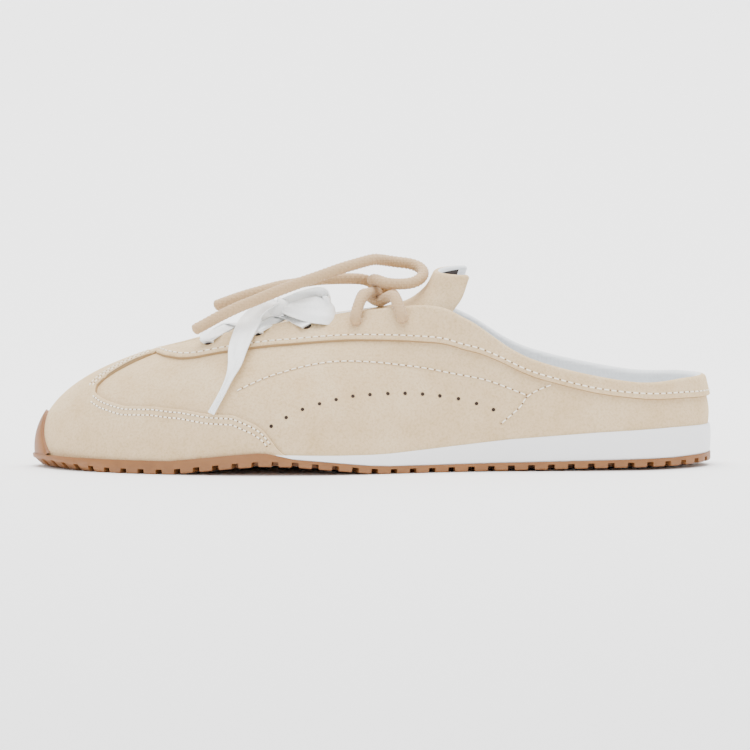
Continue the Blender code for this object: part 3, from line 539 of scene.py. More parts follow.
def foam_material(name, base):
    """Moulded foam with a tight skin: even, faintly pitted and soft in its shine."""
    made, tree, shader, coords = new_material(name, {
        "Base Color": (*base, 1.0), "Roughness": 0.55, "IOR": 1.5,
        "Subsurface Weight": 0.08, "Subsurface Radius": (0.002, 0.002, 0.002)})
    bumps(tree, shader, (noise(tree, coords, 0.6 * MM, 3.0), 0.03 * MM))
    return made


def rubber_material(name, base):
    """Gum rubber, pressed in a mould: waxy, a little see-through, with a dusty grain."""
    made, tree, shader, coords = new_material(name, {
        "Roughness": 0.5, "IOR": 1.52, "Subsurface Weight": 0.06,
        "Subsurface Radius": (0.004, 0.002, 0.001)})
    cloud = noise(tree, coords, 9 * MM, 4.0)
    tree.links.new(between(tree, cloud, tinted(base, 0.86), tinted(base, 1.08)),
                   shader.inputs["Base Color"])
    bumps(tree, shader, (noise(tree, coords, 0.5 * MM, 3.0), 0.04 * MM))
    return made


def weave_material(name, base, thread, depth, roughness, sheen):
    """Woven yarn, two sets of threads crossing: even and matt, with a soft edge to its light."""
    made, tree, shader, coords = new_material(name, {
        "Roughness": roughness, "Sheen Weight": sheen, "Sheen Roughness": 0.4})
    fuzz = noise(tree, coords, 0.7 * MM, 3.0)
    tree.links.new(between(tree, fuzz, tinted(base, 0.94), tinted(base, 1.02)),
                   shader.inputs["Base Color"])
    waves = [add(tree, "ShaderNodeTexWave",
                 {"Scale": 1.0 / (thread * 20) * 3.1, "bands_direction": way, "Distortion": 0.6},
                 {"Vector": coords}).outputs["Fac"] for way in ("X", "Z")]
    both = add(tree, "ShaderNodeMath", {"operation": "ADD"}, {0: waves[0], 1: waves[1]})
    bumps(tree, shader, (both.outputs["Value"], depth), (fuzz, depth))
    return made


def plain_material(name, base, roughness):
    """A plain matt surface."""
    return new_material(name, {"Base Color": (*base, 1.0), "Roughness": roughness})[0]


def look(name):
    """One of the shoe's materials, made the first time that it is asked for."""
    found = bpy.data.materials.get(name)
    if found:
        return found
    c = colours()
    if name == "suede_brushed":
        return suede_material(name, tuple(c.suede), tuple(c.suede_pale))
    if name == "foam_moulded":
        return foam_material(name, tuple(c.foam))
    if name == "gum_rubber_pressed":
        return rubber_material(name, tuple(c.gum))
    if name == "lining_knit":
        return weave_material(name, tuple(c.lining), 0.8 * MM, 0.05 * MM, 0.8, 0.2)
    if name == "cord_braided":
        return weave_material(name, tuple(c.cord), 0.5 * MM, 0.06 * MM, 0.85, 0.3)
    if name == "satin_woven":
        return weave_material(name, tuple(c.ribbon), 0.4 * MM, 0.02 * MM, 0.5, 0.4)
    if name == "thread_twisted":
        return plain_material(name, tuple(c.thread), 0.7)
    if name == "label_woven":
        return plain_material(name, tuple(c.label), 0.75)
    if name == "suede_cut_and_seam_shade":
        return plain_material(name, tuple(c.cut_edge_and_seam_shade), 0.95)
    if name == "painted_needle_hole_shade":
        return plain_material(name, tuple(c.pinhole_shade), 0.95)
    if name == "hole_painted_shade":
        return plain_material(name, tuple(c.hole), 0.9)
    return plain_material(name, tuple(c.floor), 0.9)


# Stage

class MULE_OT_stage(bpy.types.Operator):
    """Sets the camera, the floor with its curved wall, and the soft lights"""

    bl_idname = "mule.stage"
    bl_label = "Stage"

    def execute(self, context):
        scene = context.scene
        pitch, roll = math.radians(CAMERA_PITCH), math.radians(CAMERA_ROLL)
        data = bpy.data.cameras.new("camera")
        data.lens, data.sensor_width = CAMERA_LENS, CAMERA_SENSOR
        data.shift_x, data.shift_y = CAMERA_SHIFT
        camera = bpy.data.objects.new("camera", data)
        scene.collection.objects.link(camera)
        camera.matrix_world = (Matrix.Translation((0.0, -CAMERA_AWAY * math.cos(pitch),
                                                   CAMERA_AIM + CAMERA_AWAY * math.sin(pitch)))
                               @ Matrix.Rotation(math.pi / 2 - pitch, 4, "X")
                               @ Matrix.Rotation(roll, 4, "Z"))
        data.clip_start, data.clip_end = 0.1, 20.0
        scene.camera = camera

        turn = [math.radians(a) for a in range(0, 91, 6)]
        bend = 0.8
        profile = [(-3.0, 0.0), (0.6, 0.0)]
        profile += [(0.6 + bend * math.sin(a), bend - bend * math.cos(a)) for a in turn[1:]]
        profile.append((0.6 + bend, 4.0))
        points = np.array([[(x, y, z) for y, z in profile] for x in (-4.0, 4.0)])
        floor = add_grid("studio_floor", points, look("studio_paper"))

        world = bpy.data.worlds.new("studio")
        scene.world = world
        world.use_nodes = True
        back = world.node_tree.nodes["Background"]
        back.inputs["Color"].default_value = (1.0, 1.0, 1.0, 1.0)
        back.inputs["Strength"].default_value = 1.15
        lamps = (
            ("top_light", (0.0, -0.3, 1.6), (1.2, 0.9), 26.0),
            ("front_light", (-0.9, -1.7, 0.9), (1.2, 1.0), 9.0),
            ("side_light", (1.3, -0.7, 0.8), (0.9, 0.9), 4.0),
            ("wall_light", (0.0, 0.5, 1.7), (2.6, 0.8), 50.0),
        )
        for name, place, (wide, tall), power in lamps:
            lamp = bpy.data.lights.new(name, "AREA")
            lamp.shape, lamp.size, lamp.size_y, lamp.energy = "RECTANGLE", wide, tall, power
            made = bpy.data.objects.new(name, lamp)
            scene.collection.objects.link(made)
            made.location = place
            aim = Vector((0.0, 0.9, 0.5)) if name == "wall_light" else Vector((0.0, 0.0, 0.03))
            made.rotation_euler = (aim - Vector(place)).to_track_quat("-Z", "Y").to_euler()
        return {"FINISHED"}


# Laces

def braided_tube(name, points, diameter, material, ends=(0.8, 0.8)):
    """A round braided cord along points in millimetres."""
    line = smooth_line(np.array(points) * MM, 0.3 * MM)
    tangent, across, top = frames_along(line)
    sides = 20
    run = np.concatenate([[0], np.cumsum(np.linalg.norm(np.diff(line, axis=0), axis=1))])
    angle = np.arange(sides) * 2 * math.pi / sides
    lay = run[:, None] / (9.0 * MM) * 2 * math.pi
    pattern = np.abs(np.sin(2.5 * (angle + lay))) + np.abs(np.sin(2.5 * (angle - lay)))
    radius = diameter / 2 * (0.84 + 0.12 * pattern)
    close = np.minimum(run / (ends[0] * MM + 1e-9), (run[-1] - run) / (ends[1] * MM + 1e-9))
    radius = radius * np.sqrt(np.clip(1 - (1 - np.clip(close, 0, 1)) ** 2, 0.01, 1))[:, None]
    points = (line[:, None] + (np.cos(angle) * radius)[..., None] * across[:, None]
              + (np.sin(angle) * radius)[..., None] * top[:, None])
    faces = ring_faces(len(line), sides, flip=True)
    faces.append(tuple(range(sides))[::-1])
    faces.append(tuple((len(line) - 1) * sides + i for i in range(sides)))
    return add_mesh(name, points, faces, material), line, float(run[-1])


def eyelet_point(number, outer, lift):
    place, level = EYELETS[number]
    place = place if outer else ROWS - place
    return (skin(place, level) + skin_normal(place, level) * lift * MM) / MM


class MULE_OT_cords(bpy.types.Operator):
    """Runs the round lace through the two upper pairs of eyelets and ties its loop"""

    bl_idname = "mule.cords"
    bl_label = "Round lace"

    def execute(self, context):
        thick = sizes().cord
        braid = look("cord_braided")
        runs = []
        for a, b, height in ((3, 4, 68.0), (4, 3, 64.6)):
            start = [eyelet_point(a, True, lift) for lift in (-3.0, 1.0, 4.6)]
            end = [eyelet_point(b, False, lift) for lift in (4.6, 1.0, -3.0)]
            middle = (start[-1] + end[0]) / 2
            middle[2] = height
            near = start[-1] * 0.66 + middle * 0.34
            far = end[0] * 0.66 + middle * 0.34
            near[2] = far[2] = 66.8
            runs.append([*start, near, middle, far, *end])
        for k, route in enumerate(runs):
            piece = braided_tube("cord_crossing_%d" % k, route, thick, braid)[0]
            settle(piece, "braided_cord", *(["cord_lacing"] if k == 0 else []))
        for name, route, nodes in (("cord_long", LONG_ROUTE, ("cord_loop", "cord_end_long")),
                                   ("cord_short", SHORT_ROUTE, ("cord_end_short",))):
            piece, line, length = braided_tube(name, route, thick, braid, (0.8, 1.4))
            settle(piece, "braided_cord", *nodes)
        return {"FINISHED"}


def ribbon_mesh(name, rows, thick, material, across=14, crumple=0.0, cup=0.0):
    """A flat ribbon. rows: x, y, z in millimetres, the way it faces, and its width."""
    line = smooth_line(rows, 0.8)
    spots, faces_way, width = line[:, :3] * MM, unit(line[:, 3:6]), line[:, 6] * MM
    ahead = unit(np.gradient(spots, axis=0))
    out = unit(np.cross(ahead, faces_way))
    top = unit(np.cross(out, ahead))
    share = np.linspace(-1, 1, across)
    run = np.arange(len(spots))[:, None] * 0.8
    fold = (np.sin(share * 5.2 + 0.23 * run) * 0.5 + np.sin(share * 9.0 - 0.17 * run) * 0.3)
    tight = np.clip(1.6 - width / width.max(), 0.3, 1.3)[:, None]
    lift = crumple * MM * fold * tight - cup * MM * share ** 2
    sheet = (spots[:, None] + out[:, None] * (share * width[:, None] / 2)[..., None]
             + top[:, None] * lift[..., None])
    half = thick * MM / 2
    upper = sheet + top[:, None] * half
    lower = sheet - top[:, None] * half
    ring = np.concatenate([upper, lower[:, ::-1]], 1)
    columns, count = ring.shape[:2]
    faces = ring_faces(columns, count)
    for j in (0, columns - 1):
        for i in range(across - 1):
            face = (j * count + i, j * count + i + 1, j * count + count - 2 - i,
                    j * count + count - 1 - i)
            faces.append(face if j == 0 else face[::-1])
    made = add_mesh(name, ring, faces, material, sharp=60)
    length = float(np.linalg.norm(np.diff(spots, axis=0), axis=1).sum())
    return made, spots, length


def skin_row(place, level, lift, width):
    spot = (skin(place, level) + skin_normal(place, level) * lift * MM) / MM
    return (*spot, *skin_normal(place, level), width)


class MULE_OT_ribbon(bpy.types.Operator):
    """Runs the ribbon through the three lower pairs of eyelets and ties its bow"""

    bl_idname = "mule.ribbon"
    bl_label = "Ribbon"

    def execute(self, context):
        s = sizes()
        satin = look("satin_woven")
        wide = s.ribbon / MM
        runs = ((0, 0, 0.0), (0, 1, 0.5), (1, 0, 1.0), (1, 2, 0.4), (2, 1, 0.9))
        for k, (a, b, step) in enumerate(runs):
            rows = []
            for number, outer in ((a, True), (b, False)):
                side_rows = []
                place, level = EYELETS[number]
                place = place if outer else ROWS - place
                for lift, share in ((-2.2, 0.5), (1.6, 0.62), (3.0, 0.85)):
                    side_rows.append(skin_row(place, level, lift, wide * share))
                rows += side_rows if outer else side_rows[::-1]
            middle = (np.array(rows[2]) + np.array(rows[3])) / 2
            middle[2] += 2.6 + step
            middle[3:] = (0.0, 0.0, 1.0, wide)
            rows.insert(3, tuple(middle))
            piece = ribbon_mesh("ribbon_crossing_%d" % k, rows, 0.5, satin, crumple=0.25)[0]
            settle(piece, "satin_ribbon", *(["ribbon_lacing"] if k == 0 else []))

        px, py, pz = BOW_PINCH
        sides = (("bow_loop_outer", 1, 1.0, 0.0), ("bow_loop_inner", -1, 0.72, 1.6))
        for name, way, size, drop in sides:
            rows = [
                (0.5, -1.0, -0.6, 0.0, -0.80, 0.60, 4.0),
                (5.5, -6.4, -1.0, 0.0, -0.80, 0.60, 8.6),
                (12.5, -9.6, -1.2, 0.2, -0.78, 0.58, 12.6),
                (18.5, -9.0, -2.0, 0.8, -0.40, 0.50, 12.4),
                (20.5, -5.5, -1.0, 1.0, 0.10, 0.40, 11.0),
                (16.5, -2.8, 1.6, 0.3, 0.85, 0.35, 11.5),
                (8.5, -1.4, 1.8, 0.0, 0.90, 0.30, 8.0),
                (0.5, 0.6, 0.4, 0.0, 0.90, 0.30, 4.0),
            ]
            rows = [(px + size * x, py + way * size * y, pz + z - drop, a, way * b, c, size * w)
                    for x, y, z, a, b, c, w in rows]
            piece = ribbon_mesh(name, rows, 0.5, satin, across=18, crumple=0.7, cup=1.1)[0]
            settle(piece, "satin_ribbon", *(["ribbon_bow"] if way > 0 else []))
        knot = [(px - 2.4, py - 0.6, pz + 0.2, 0, -0.6, 0.8, 6.0),
                (px - 1.4, py - 2.8, pz - 0.4, -0.2, -0.9, 0.3, 7.0),
                (px + 0.2, py - 3.2, pz + 0.2, 0, -1.0, 0.2, 7.4),
                (px + 2.0, py - 2.4, pz + 0.6, 0.3, -0.8, 0.5, 7.0),
                (px + 2.6, py - 0.2, pz + 0.8, 0.6, 0.0, 0.8, 6.0)]
        piece = ribbon_mesh("bow_knot", knot, 0.6, satin, across=16, crumple=0.5, cup=2.4)[0]
        settle(piece, "satin_ribbon")

        tails = (
            ("ribbon_tail_outer", True, (
                (-44.5, 55.6, 1.00, 3.6), (-47.5, 50.2, 0.96, 3.2), (-49.6, 45.2, 0.82, 2.6),
                (-51.2, 39.4, 0.55, 2.2), (-52.8, 35.0, 0.34, 1.8), (-55.6, 29.5, 0.30, 1.7),
                (-59.4, 22.6, 0.26, 1.6))),
            ("ribbon_tail_inner", False, (
                (-42.5, 55.6, 0.95, 3.6), (-43.0, 50.2, 0.88, 3.2), (-43.6, 45.0, 0.72, 2.6),
                (-43.4, 40.0, 0.50, 2.2), (-42.8, 36.0, 0.34, 1.8), (-41.6, 30.0, 0.30, 1.7),
                (-40.2, 24.5, 0.26, 1.6))),
        )
        for name, outer, table in tails:
            way = -1 if outer else 1
            rows = [(px - 1.6, py + way * 1.2, pz + 0.8, 0, 0.3 * way, 0.9, 4.4),
                    (px - 5.6, py + way * 4.6, pz + 0.2, 0, 0.4 * way, 0.9, 8.6)]
            for x, z, share, lift in table:
                place, level = on_skin(x * MM, z * MM, outer)
                rows.append(skin_row(place, level, 1.3 + lift, share * s.tail / MM))
            piece, line, length = ribbon_mesh("satin_" + name, rows, 0.6, satin, crumple=0.45)
            settle(piece, "satin_ribbon", name)
        return {"FINISHED"}


def on_skin(x, z, outer):
    """The place and level where the skin passes a point along the shoe and up."""
    start, end = (2.0, 6.0) if outer else (ROWS - 2.0, ROWS - 6.0)
    places, levels = np.meshgrid(np.linspace(start, end, 161), np.linspace(0, 1, 101))
    spots = skin(places, levels)
    miss = np.abs(spots[..., 0] - x) + np.abs(spots[..., 2] - z)
    best = np.unravel_index(miss.argmin(), miss.shape)
    return float(places[best]), float(levels[best])


# Upper

ROLL = 1.9 * MM


def rim_level(places):
    return lowered(places, np.ones_like(places), ROLL)


def roll_points(places, angles):
    """The rolled top edge: angle 0 looks out of the shoe, 180 degrees into it."""
    s = sizes()
    level = rim_level(places)
    base = skin(places, level)
    out = skin_normal(places, level)
    up = unit(skin_up(places, level))
    outer, inner = s.overlay, s.wall
    middle = base + out * ((outer - inner) / 2)
    reach = (outer + inner) / 2
    return (middle[:, None] + out[:, None] * (reach * np.cos(angles))[None, :, None]
            + up[:, None] * (ROLL * np.sin(angles))[None, :, None])


def rounded(distance, radius):
    share = 1 - np.clip(distance / radius, 0, 1)
    return np.sqrt(np.clip(1 - share ** 2, 0, 1))


def path_on_skin(table, inner=False, step=0.02):
    """Dense places and levels along a seam given by its table."""
    line = rows_at(table, np.arange(0, len(table) - 1, step), closed=False)
    places, levels = line[:, 0], line[:, 1]
    return (ROWS - places if inner else places), levels


def near_distance(points, line):
    """Each point's distance to the nearest point of a line."""
    flat = points.reshape(-1, 3)
    result = np.full(len(flat), 1.0)
    for start in range(0, len(flat), 4000):
        part = flat[start:start + 4000]
        gap = np.linalg.norm(part[:, None] - line[None, ::2], axis=-1)
        result[start:start + 4000] = gap.min(1)
    return result.reshape(points.shape[:-1])


class MULE_OT_upper(bpy.types.Operator):
    """Builds the suede shell and the lining inside it"""

    bl_idname = "mule.upper"
    bl_label = "Upper and lining"

    def execute(self, context):
        s = sizes()
        places = even_places(421)[:-1]
        levels = np.concatenate([[-0.04], np.linspace(0, 1, 84) ** 0.95])
        top = rim_level(places)
        grid = np.where(levels[None] < 0, levels[None], levels[None] * top[:, None])
        around = places[:, None] + 0 * grid
        points = skin(around, grid)
        out = skin_normal(around, grid)
        depth = np.zeros(grid.shape)
        for table in (ARC_STITCH, REAR_STITCH):
            for inner in (False, True):
                line = skin(*path_on_skin(table, inner))
                depth += 0.28 * MM * np.exp(-(near_distance(points, line) / (1.1 * MM)) ** 2)
        wave = (np.sin(around * 2.1 + grid * 5) * np.sin(grid * 9 - around) * 0.08 * MM
                * np.clip(grid * 4, 0, 1) * np.clip((1 - grid) * 4, 0, 1))
        points = points + out * (wave - depth)[..., None]
        piece = add_grid("upper_suede", points, look("suede_brushed"), closed=True)
        settle(piece, "suede", "upper")

        places = even_places(301)[:-1]
        angles = np.radians(np.linspace(70, 180, 9))
        roll = roll_points(places, angles)
        top = rim_level(places)
        share = np.linspace(1, 0, 30)[1:]
        grid = top[:, None] * share[None]
        around = places[:, None] + 0 * grid
        inside = skin(around, grid) - skin_normal(around, grid) * s.wall
        piece = add_grid("upper_lining", np.concatenate([roll, inside], 1), look("lining_knit"),
                         closed=True, flip=False)
        settle(piece, "sock_lining")
        return {"FINISHED"}


class MULE_OT_overlays(bpy.types.Operator):
    """Lays the toe cap with its centre strip, and the band round the opening, on the suede"""

    bl_idname = "mule.overlays"
    bl_label = "Overlays"

    def execute(self, context):
        s = sizes()
        suede = look("suede_brushed")

        fine = [np.linspace(0.0, 0.80, 22), np.linspace(0.80, 0.96, 46)[1:],
                np.linspace(0.96, 1.4, 30)[1:], np.linspace(1.4, 4.46, 110)[1:]]
        half = np.concatenate(fine)
        places = np.concatenate([-half[::-1], half[1:]])
        top = seam_level(CAP_EDGE, places, 0.02)
        share = 0.5 - 0.5 * np.cos(np.linspace(0, math.pi, 60))
        share = 0.65 * share + 0.35 * np.linspace(0, 1, 60)
        grid = -0.02 + (top[:, None] + 0.02) * share[None]
        around = places[:, None] + 0 * grid
        edge = skin(places, top)
        edge = edge[np.abs(places) > 0.80]
        points = skin(around, grid)
        apart = near_distance(points, np.repeat(edge, 2, 0))
        lift = s.overlay * rounded(apart, 0.6 * MM) - 0.05 * MM
        points = points + skin_normal(around, grid) * lift[..., None]
        piece = add_grid("toe_cap", points, [suede, look("suede_cut_and_seam_shade")])
        # Faces along the cap's seam take the cut-edge colour: the raw edge's darker tone plus
        # painted seam shade.
        close = near_distance(points, np.repeat(edge, 2, 0)) < 0.45 * MM
        close[:, -1] |= np.abs(places) > 0.80
        piece.data.polygons.foreach_set("material_index", close[:-1, 1:].ravel().astype(int))
        settle(piece, "suede_overlay", "toe_overlay")

        places = even_places(481)[:-1]
        low = seam_level(BAND_EDGE, places)
        high = rim_level(places)
        share = np.concatenate([[0.0], np.linspace(0, 1, 25) ** 1.7])
        grid = low[:, None] + (high - low)[:, None] * share[None]
        around = places[:, None] + 0 * grid
        points = skin(around, grid)
        run = np.concatenate([np.zeros((len(places), 1)),
                              np.cumsum(np.linalg.norm(np.diff(points, axis=1), axis=-1), 1)], 1)
        lift = s.overlay * rounded(run, 0.6 * MM)
        lift[:, 0] = -0.3 * MM
        points = points + skin_normal(around, grid) * lift[..., None]
        roll = roll_points(places, np.radians(np.linspace(0, 80, 8)))[:, 1:]
        piece = add_grid("collar_band_suede", np.concatenate([points, roll], 1),
                         [suede, look("suede_cut_and_seam_shade")], closed=True)
        # The band's three lowest rows take the same cut-edge colour: raw edge tone plus painted
        # seam shade.
        kinds = np.zeros((len(places), points.shape[1] + roll.shape[1] - 1), int)
        kinds[:, :3] = 1
        piece.data.polygons.foreach_set("material_index", kinds.ravel())
        settle(piece, "suede_overlay", "collar_band")
        return {"FINISHED"}


def stitch_row(verts, faces, pinhole_shade_spots, places, levels, pitch, lift):
    """Adds a row of stitches, each a short thread that dips into the suede at its ends."""
    thread = sizes().thread
    spots = skin(places, levels)
    outs = skin_normal(places, levels)
    run = np.concatenate([[0], np.cumsum(np.linalg.norm(np.diff(spots, axis=0), axis=1))])
    count = int(run[-1] / pitch)
    shape = ((-0.5, 0.5, -0.5), (-0.42, 0.9, 0.05), (0.0, 1.0, 0.2), (0.42, 0.9, 0.05),
             (0.5, 0.5, -0.5))
    for k in range(count):
        base = len(verts)
        middle = (k + 0.5) * pitch
        marks = [middle + along * pitch * 0.72 for along, _, _ in shape]
        points = np.stack([np.interp(marks, run, spots[:, c]) for c in range(3)], -1)
        out = unit(np.array([np.interp(middle, run, outs[:, c]) for c in range(3)]))
        ahead = unit(points[-1] - points[0])
        # The spot between two stitches where a dot of painted shade stands for the needle hole.
        gap = [float(np.interp(middle + pitch / 2, run, spots[:, c])) for c in range(3)]
        pinhole_shade_spots.append((np.array(gap), out, ahead, lift))
        across = np.cross(ahead, out)
        for point, (_, wide, rise) in zip(points, shape):
            centre = point + out * (lift + rise * thread)
            for m in range(6):
                turn = m * math.pi / 3
                verts.append(centre + (across * math.cos(turn) + out * math.sin(turn))
                             * thread * 0.5 * wide)
        for ring in range(4):
            for m in range(6):
                n = (m + 1) % 6
                a = base + ring * 6
                faces.append((a + m, a + n, a + 6 + n, a + 6 + m))


class MULE_OT_stitches(bpy.types.Operator):
    """Sews the seams, and marks the needle holes, vent holes and eyelets with dark discs of painted
    shade
    """

    bl_idname = "mule.stitches"
    bl_label = "Stitches and holes"

    def execute(self, context):
        s = sizes()
        verts, faces, pinhole_shade_spots = [], [], []
        for inner in (False, True):
            stitch_row(verts, faces, pinhole_shade_spots, *path_on_skin(ARC_STITCH, inner), s.stitch_pitch, 0.0)
            stitch_row(verts, faces, pinhole_shade_spots, *path_on_skin(REAR_STITCH, inner), s.stitch_pitch, 0.0)
        places = np.linspace(0.0, ROWS, 900)
        levels = lowered(places, seam_level(BAND_EDGE, places), -2.1 * MM)
        stitch_row(verts, faces, pinhole_shade_spots, places, levels, s.stitch_pitch, s.overlay)
        for inset in (1.7 * MM, 3.9 * MM):
            for way in (-1, 1):
                places = np.linspace(1.25 + inset * 30, 4.33, 300)
                levels = lowered(places, seam_level(CAP_EDGE, places, 0.02), inset)
                keep = levels > 0.03
                stitch_row(verts, faces, pinhole_shade_spots, way * places[keep], levels[keep], s.fine_pitch,
                           s.overlay)
                levels = np.linspace(0.53, 0.92, 120)
                places = np.interp(-levels, [-0.95, -0.774, -0.636, -0.549, -0.5],
                                   [0.84, 0.91, 0.94, 1.04, 1.18])
                wide = np.linalg.norm(skin(places + 0.02, levels) - skin(places, levels), axis=-1)
                places = places - inset / (wide / 0.02)
                stitch_row(verts, faces, pinhole_shade_spots, way * places, levels, s.fine_pitch, s.overlay)
        piece = add_mesh("stitches", np.array(verts), faces, look("thread_twisted"))
        settle(piece, "suede")

        # Dark discs of painted shade, one between each pair of stitches, stand for the needle
        # holes.
        verts, faces = [], []
        for centre, out, ahead, lift in pinhole_shade_spots:
            across = np.cross(ahead, out)
            base = len(verts)
            for m in range(8):
                turn = m * math.pi / 4
                verts.append(centre + out * (lift + 0.10 * MM)
                             + (across * math.cos(turn) + ahead * math.sin(turn)) * 0.32 * MM)
            faces.append(tuple(range(base, base + 8)))
        piece = add_mesh("painted_shade_needle_dots", np.array(verts), faces, look("painted_needle_hole_shade"))
        settle(piece, "suede")

        verts, faces = [], []
        # Vent holes and eyelets: each a dark disc with a short wall, painted shade standing for the
        # inside of the hole.
        spots = [(p, l, s.vent / 2, 0.16 * MM) for p, l in VENT_HOLES]
        spots += [(p, l, 1.9 * MM, s.overlay + 0.06 * MM) for p, l in EYELETS]
        for place, level, radius, lift in spots:
            for where in (place, ROWS - place):
                centre = skin(where, level)
                out = skin_normal(where, level)
                up = unit(skin_up(where, np.array(level)))
                across = np.cross(up, out)
                base = len(verts)
                for m in range(16):
                    turn = m * math.pi / 8
                    rim = across * math.cos(turn) + up * math.sin(turn)
                    verts.append(centre + out * lift + rim * radius)
                    verts.append(centre + out * (lift - 0.5 * MM) + rim * radius * 1.1)
                faces.append(tuple(base + 2 * m for m in range(16)))
                for m in range(16):
                    n = (m + 1) % 16
                    faces.append((base + 2 * m, base + 2 * m + 1, base + 2 * n + 1, base + 2 * n))
        piece = add_mesh("holes", np.array(verts), faces, look("hole_painted_shade"), sharp=30)
        settle(piece, "suede")
        return {"FINISHED"}


# Tongue

class MULE_OT_tongue(bpy.types.Operator):
    """Builds the suede tongue with its lined inner face and bare label"""

    bl_idname = "mule.tongue"
    bl_label = "Tongue"

    def execute(self, context):
        s = sizes()
        half_width, middle, lean = 17.0 * MM, 1.6 * MM, 0.09
        last = len(TONGUE) - 1

        def surface(place, across):
            row = rows_at(TONGUE, place, closed=False)
            over = row[..., 2] * half_width * np.sin(across * math.pi / 2)
            bow = 1.0 - np.cos(across * math.pi / 2)
            free = np.maximum(place - last + 2.0, 0.0) / 2.0
            return np.stack([
                row[..., 0] * s.length + row[..., 3] * half_width * bow,
                over + middle,
                row[..., 1] * s.instep - row[..., 4] * half_width * bow + over * lean * free], -1)

        def normal(place, across):
            low, high = np.maximum(place - 0.02, 0.0), np.minimum(place + 0.02, last)
            ahead = surface(high, across) - surface(low, across)
            side_way = surface(place, across + 0.02) - surface(place, across - 0.02)
            return unit(np.cross(ahead, side_way))

        thick = 2.6 * MM
        long_count, cross_count, bend = 90, 44, 7
        share = np.linspace(-1, 1, cross_count)
        turn = np.linspace(0, math.pi, bend + 2)[1:-1]
        ring = [(a, 0.0, 0.0) for a in share]
        ring += [(1.0, thick / 2 * math.sin(t), thick / 2 * (1 - math.cos(t))) for t in turn]
        ring += [(a, 0.0, thick) for a in share[::-1]]
        ring += [(-1.0, -thick / 2 * math.sin(t), thick / 2 * (1 + math.cos(t))) for t in turn]
        across = np.array([r[0] for r in ring])
        reach = np.array([r[1] for r in ring])
        depth = np.array([r[2] for r in ring])
        stages = [(p, 0.0) for p in np.linspace(0, last, long_count)]
        stages += [(float(last), t) for t in np.linspace(0, math.pi / 2, 7)[1:]]
        points = []
        for place, t in stages:
            spot = surface(np.full(len(ring), place), across)
            out = normal(np.full(len(ring), place), across)
            sideways = unit(surface(np.full(len(ring), place), across + 0.01)
                            - surface(np.full(len(ring), place), across - 0.01))
            ahead = unit(np.cross(sideways, out))
            inner_depth = thick / 2 + (depth - thick / 2) * math.cos(t)
            point = (spot - out * inner_depth[:, None] + sideways * (reach * math.cos(t))[:, None])
            points.append(point + ahead * (thick / 2 * math.sin(t)))
        points = np.array(points)
        columns, count = points.shape[:2]
        faces, kinds = ring_faces(columns, count), []
        for j in range(columns - 1):
            for i in range(count):
                inner = cross_count + bend // 2 <= i < 2 * cross_count + bend + bend // 2
                free = stages[j][0]
                labelled = inner and 5.6 < free < 6.95 and abs(across[i]) < 0.9
                kinds.append(2 if labelled else 1 if inner else 0)
        piece = add_mesh("tongue_padded", points, faces,
                         [look("suede_brushed"), look("lining_knit"), look("label_woven")])
        piece.data.polygons.foreach_set("material_index", kinds)
        settle(piece, "suede", "tongue")
        return {"FINISHED"}


# Sole

def inset_ring(places, inset, z):
    flat = outline(places) - outward(places) * np.asarray(inset)[..., None]
    z = np.broadcast_to(z, places.shape)
    return np.concatenate([flat, z[:, None]], -1)


def middle_line(ring):
    """For each point of a ring, the point half way across the shoe at the same length."""
    half = len(ring) // 2
    order = np.argsort(ring[:half, 0])
    back = np.argsort(ring[half:, 0])
    a = np.interp(ring[:, 0], ring[:half, 0][order], ring[:half, 1][order])
    b = np.interp(ring[:, 0], ring[half:, 0][back], ring[half:, 1][back])
    middle = ring.copy()
    middle[:, 1] = (a + b) / 2
    return middle


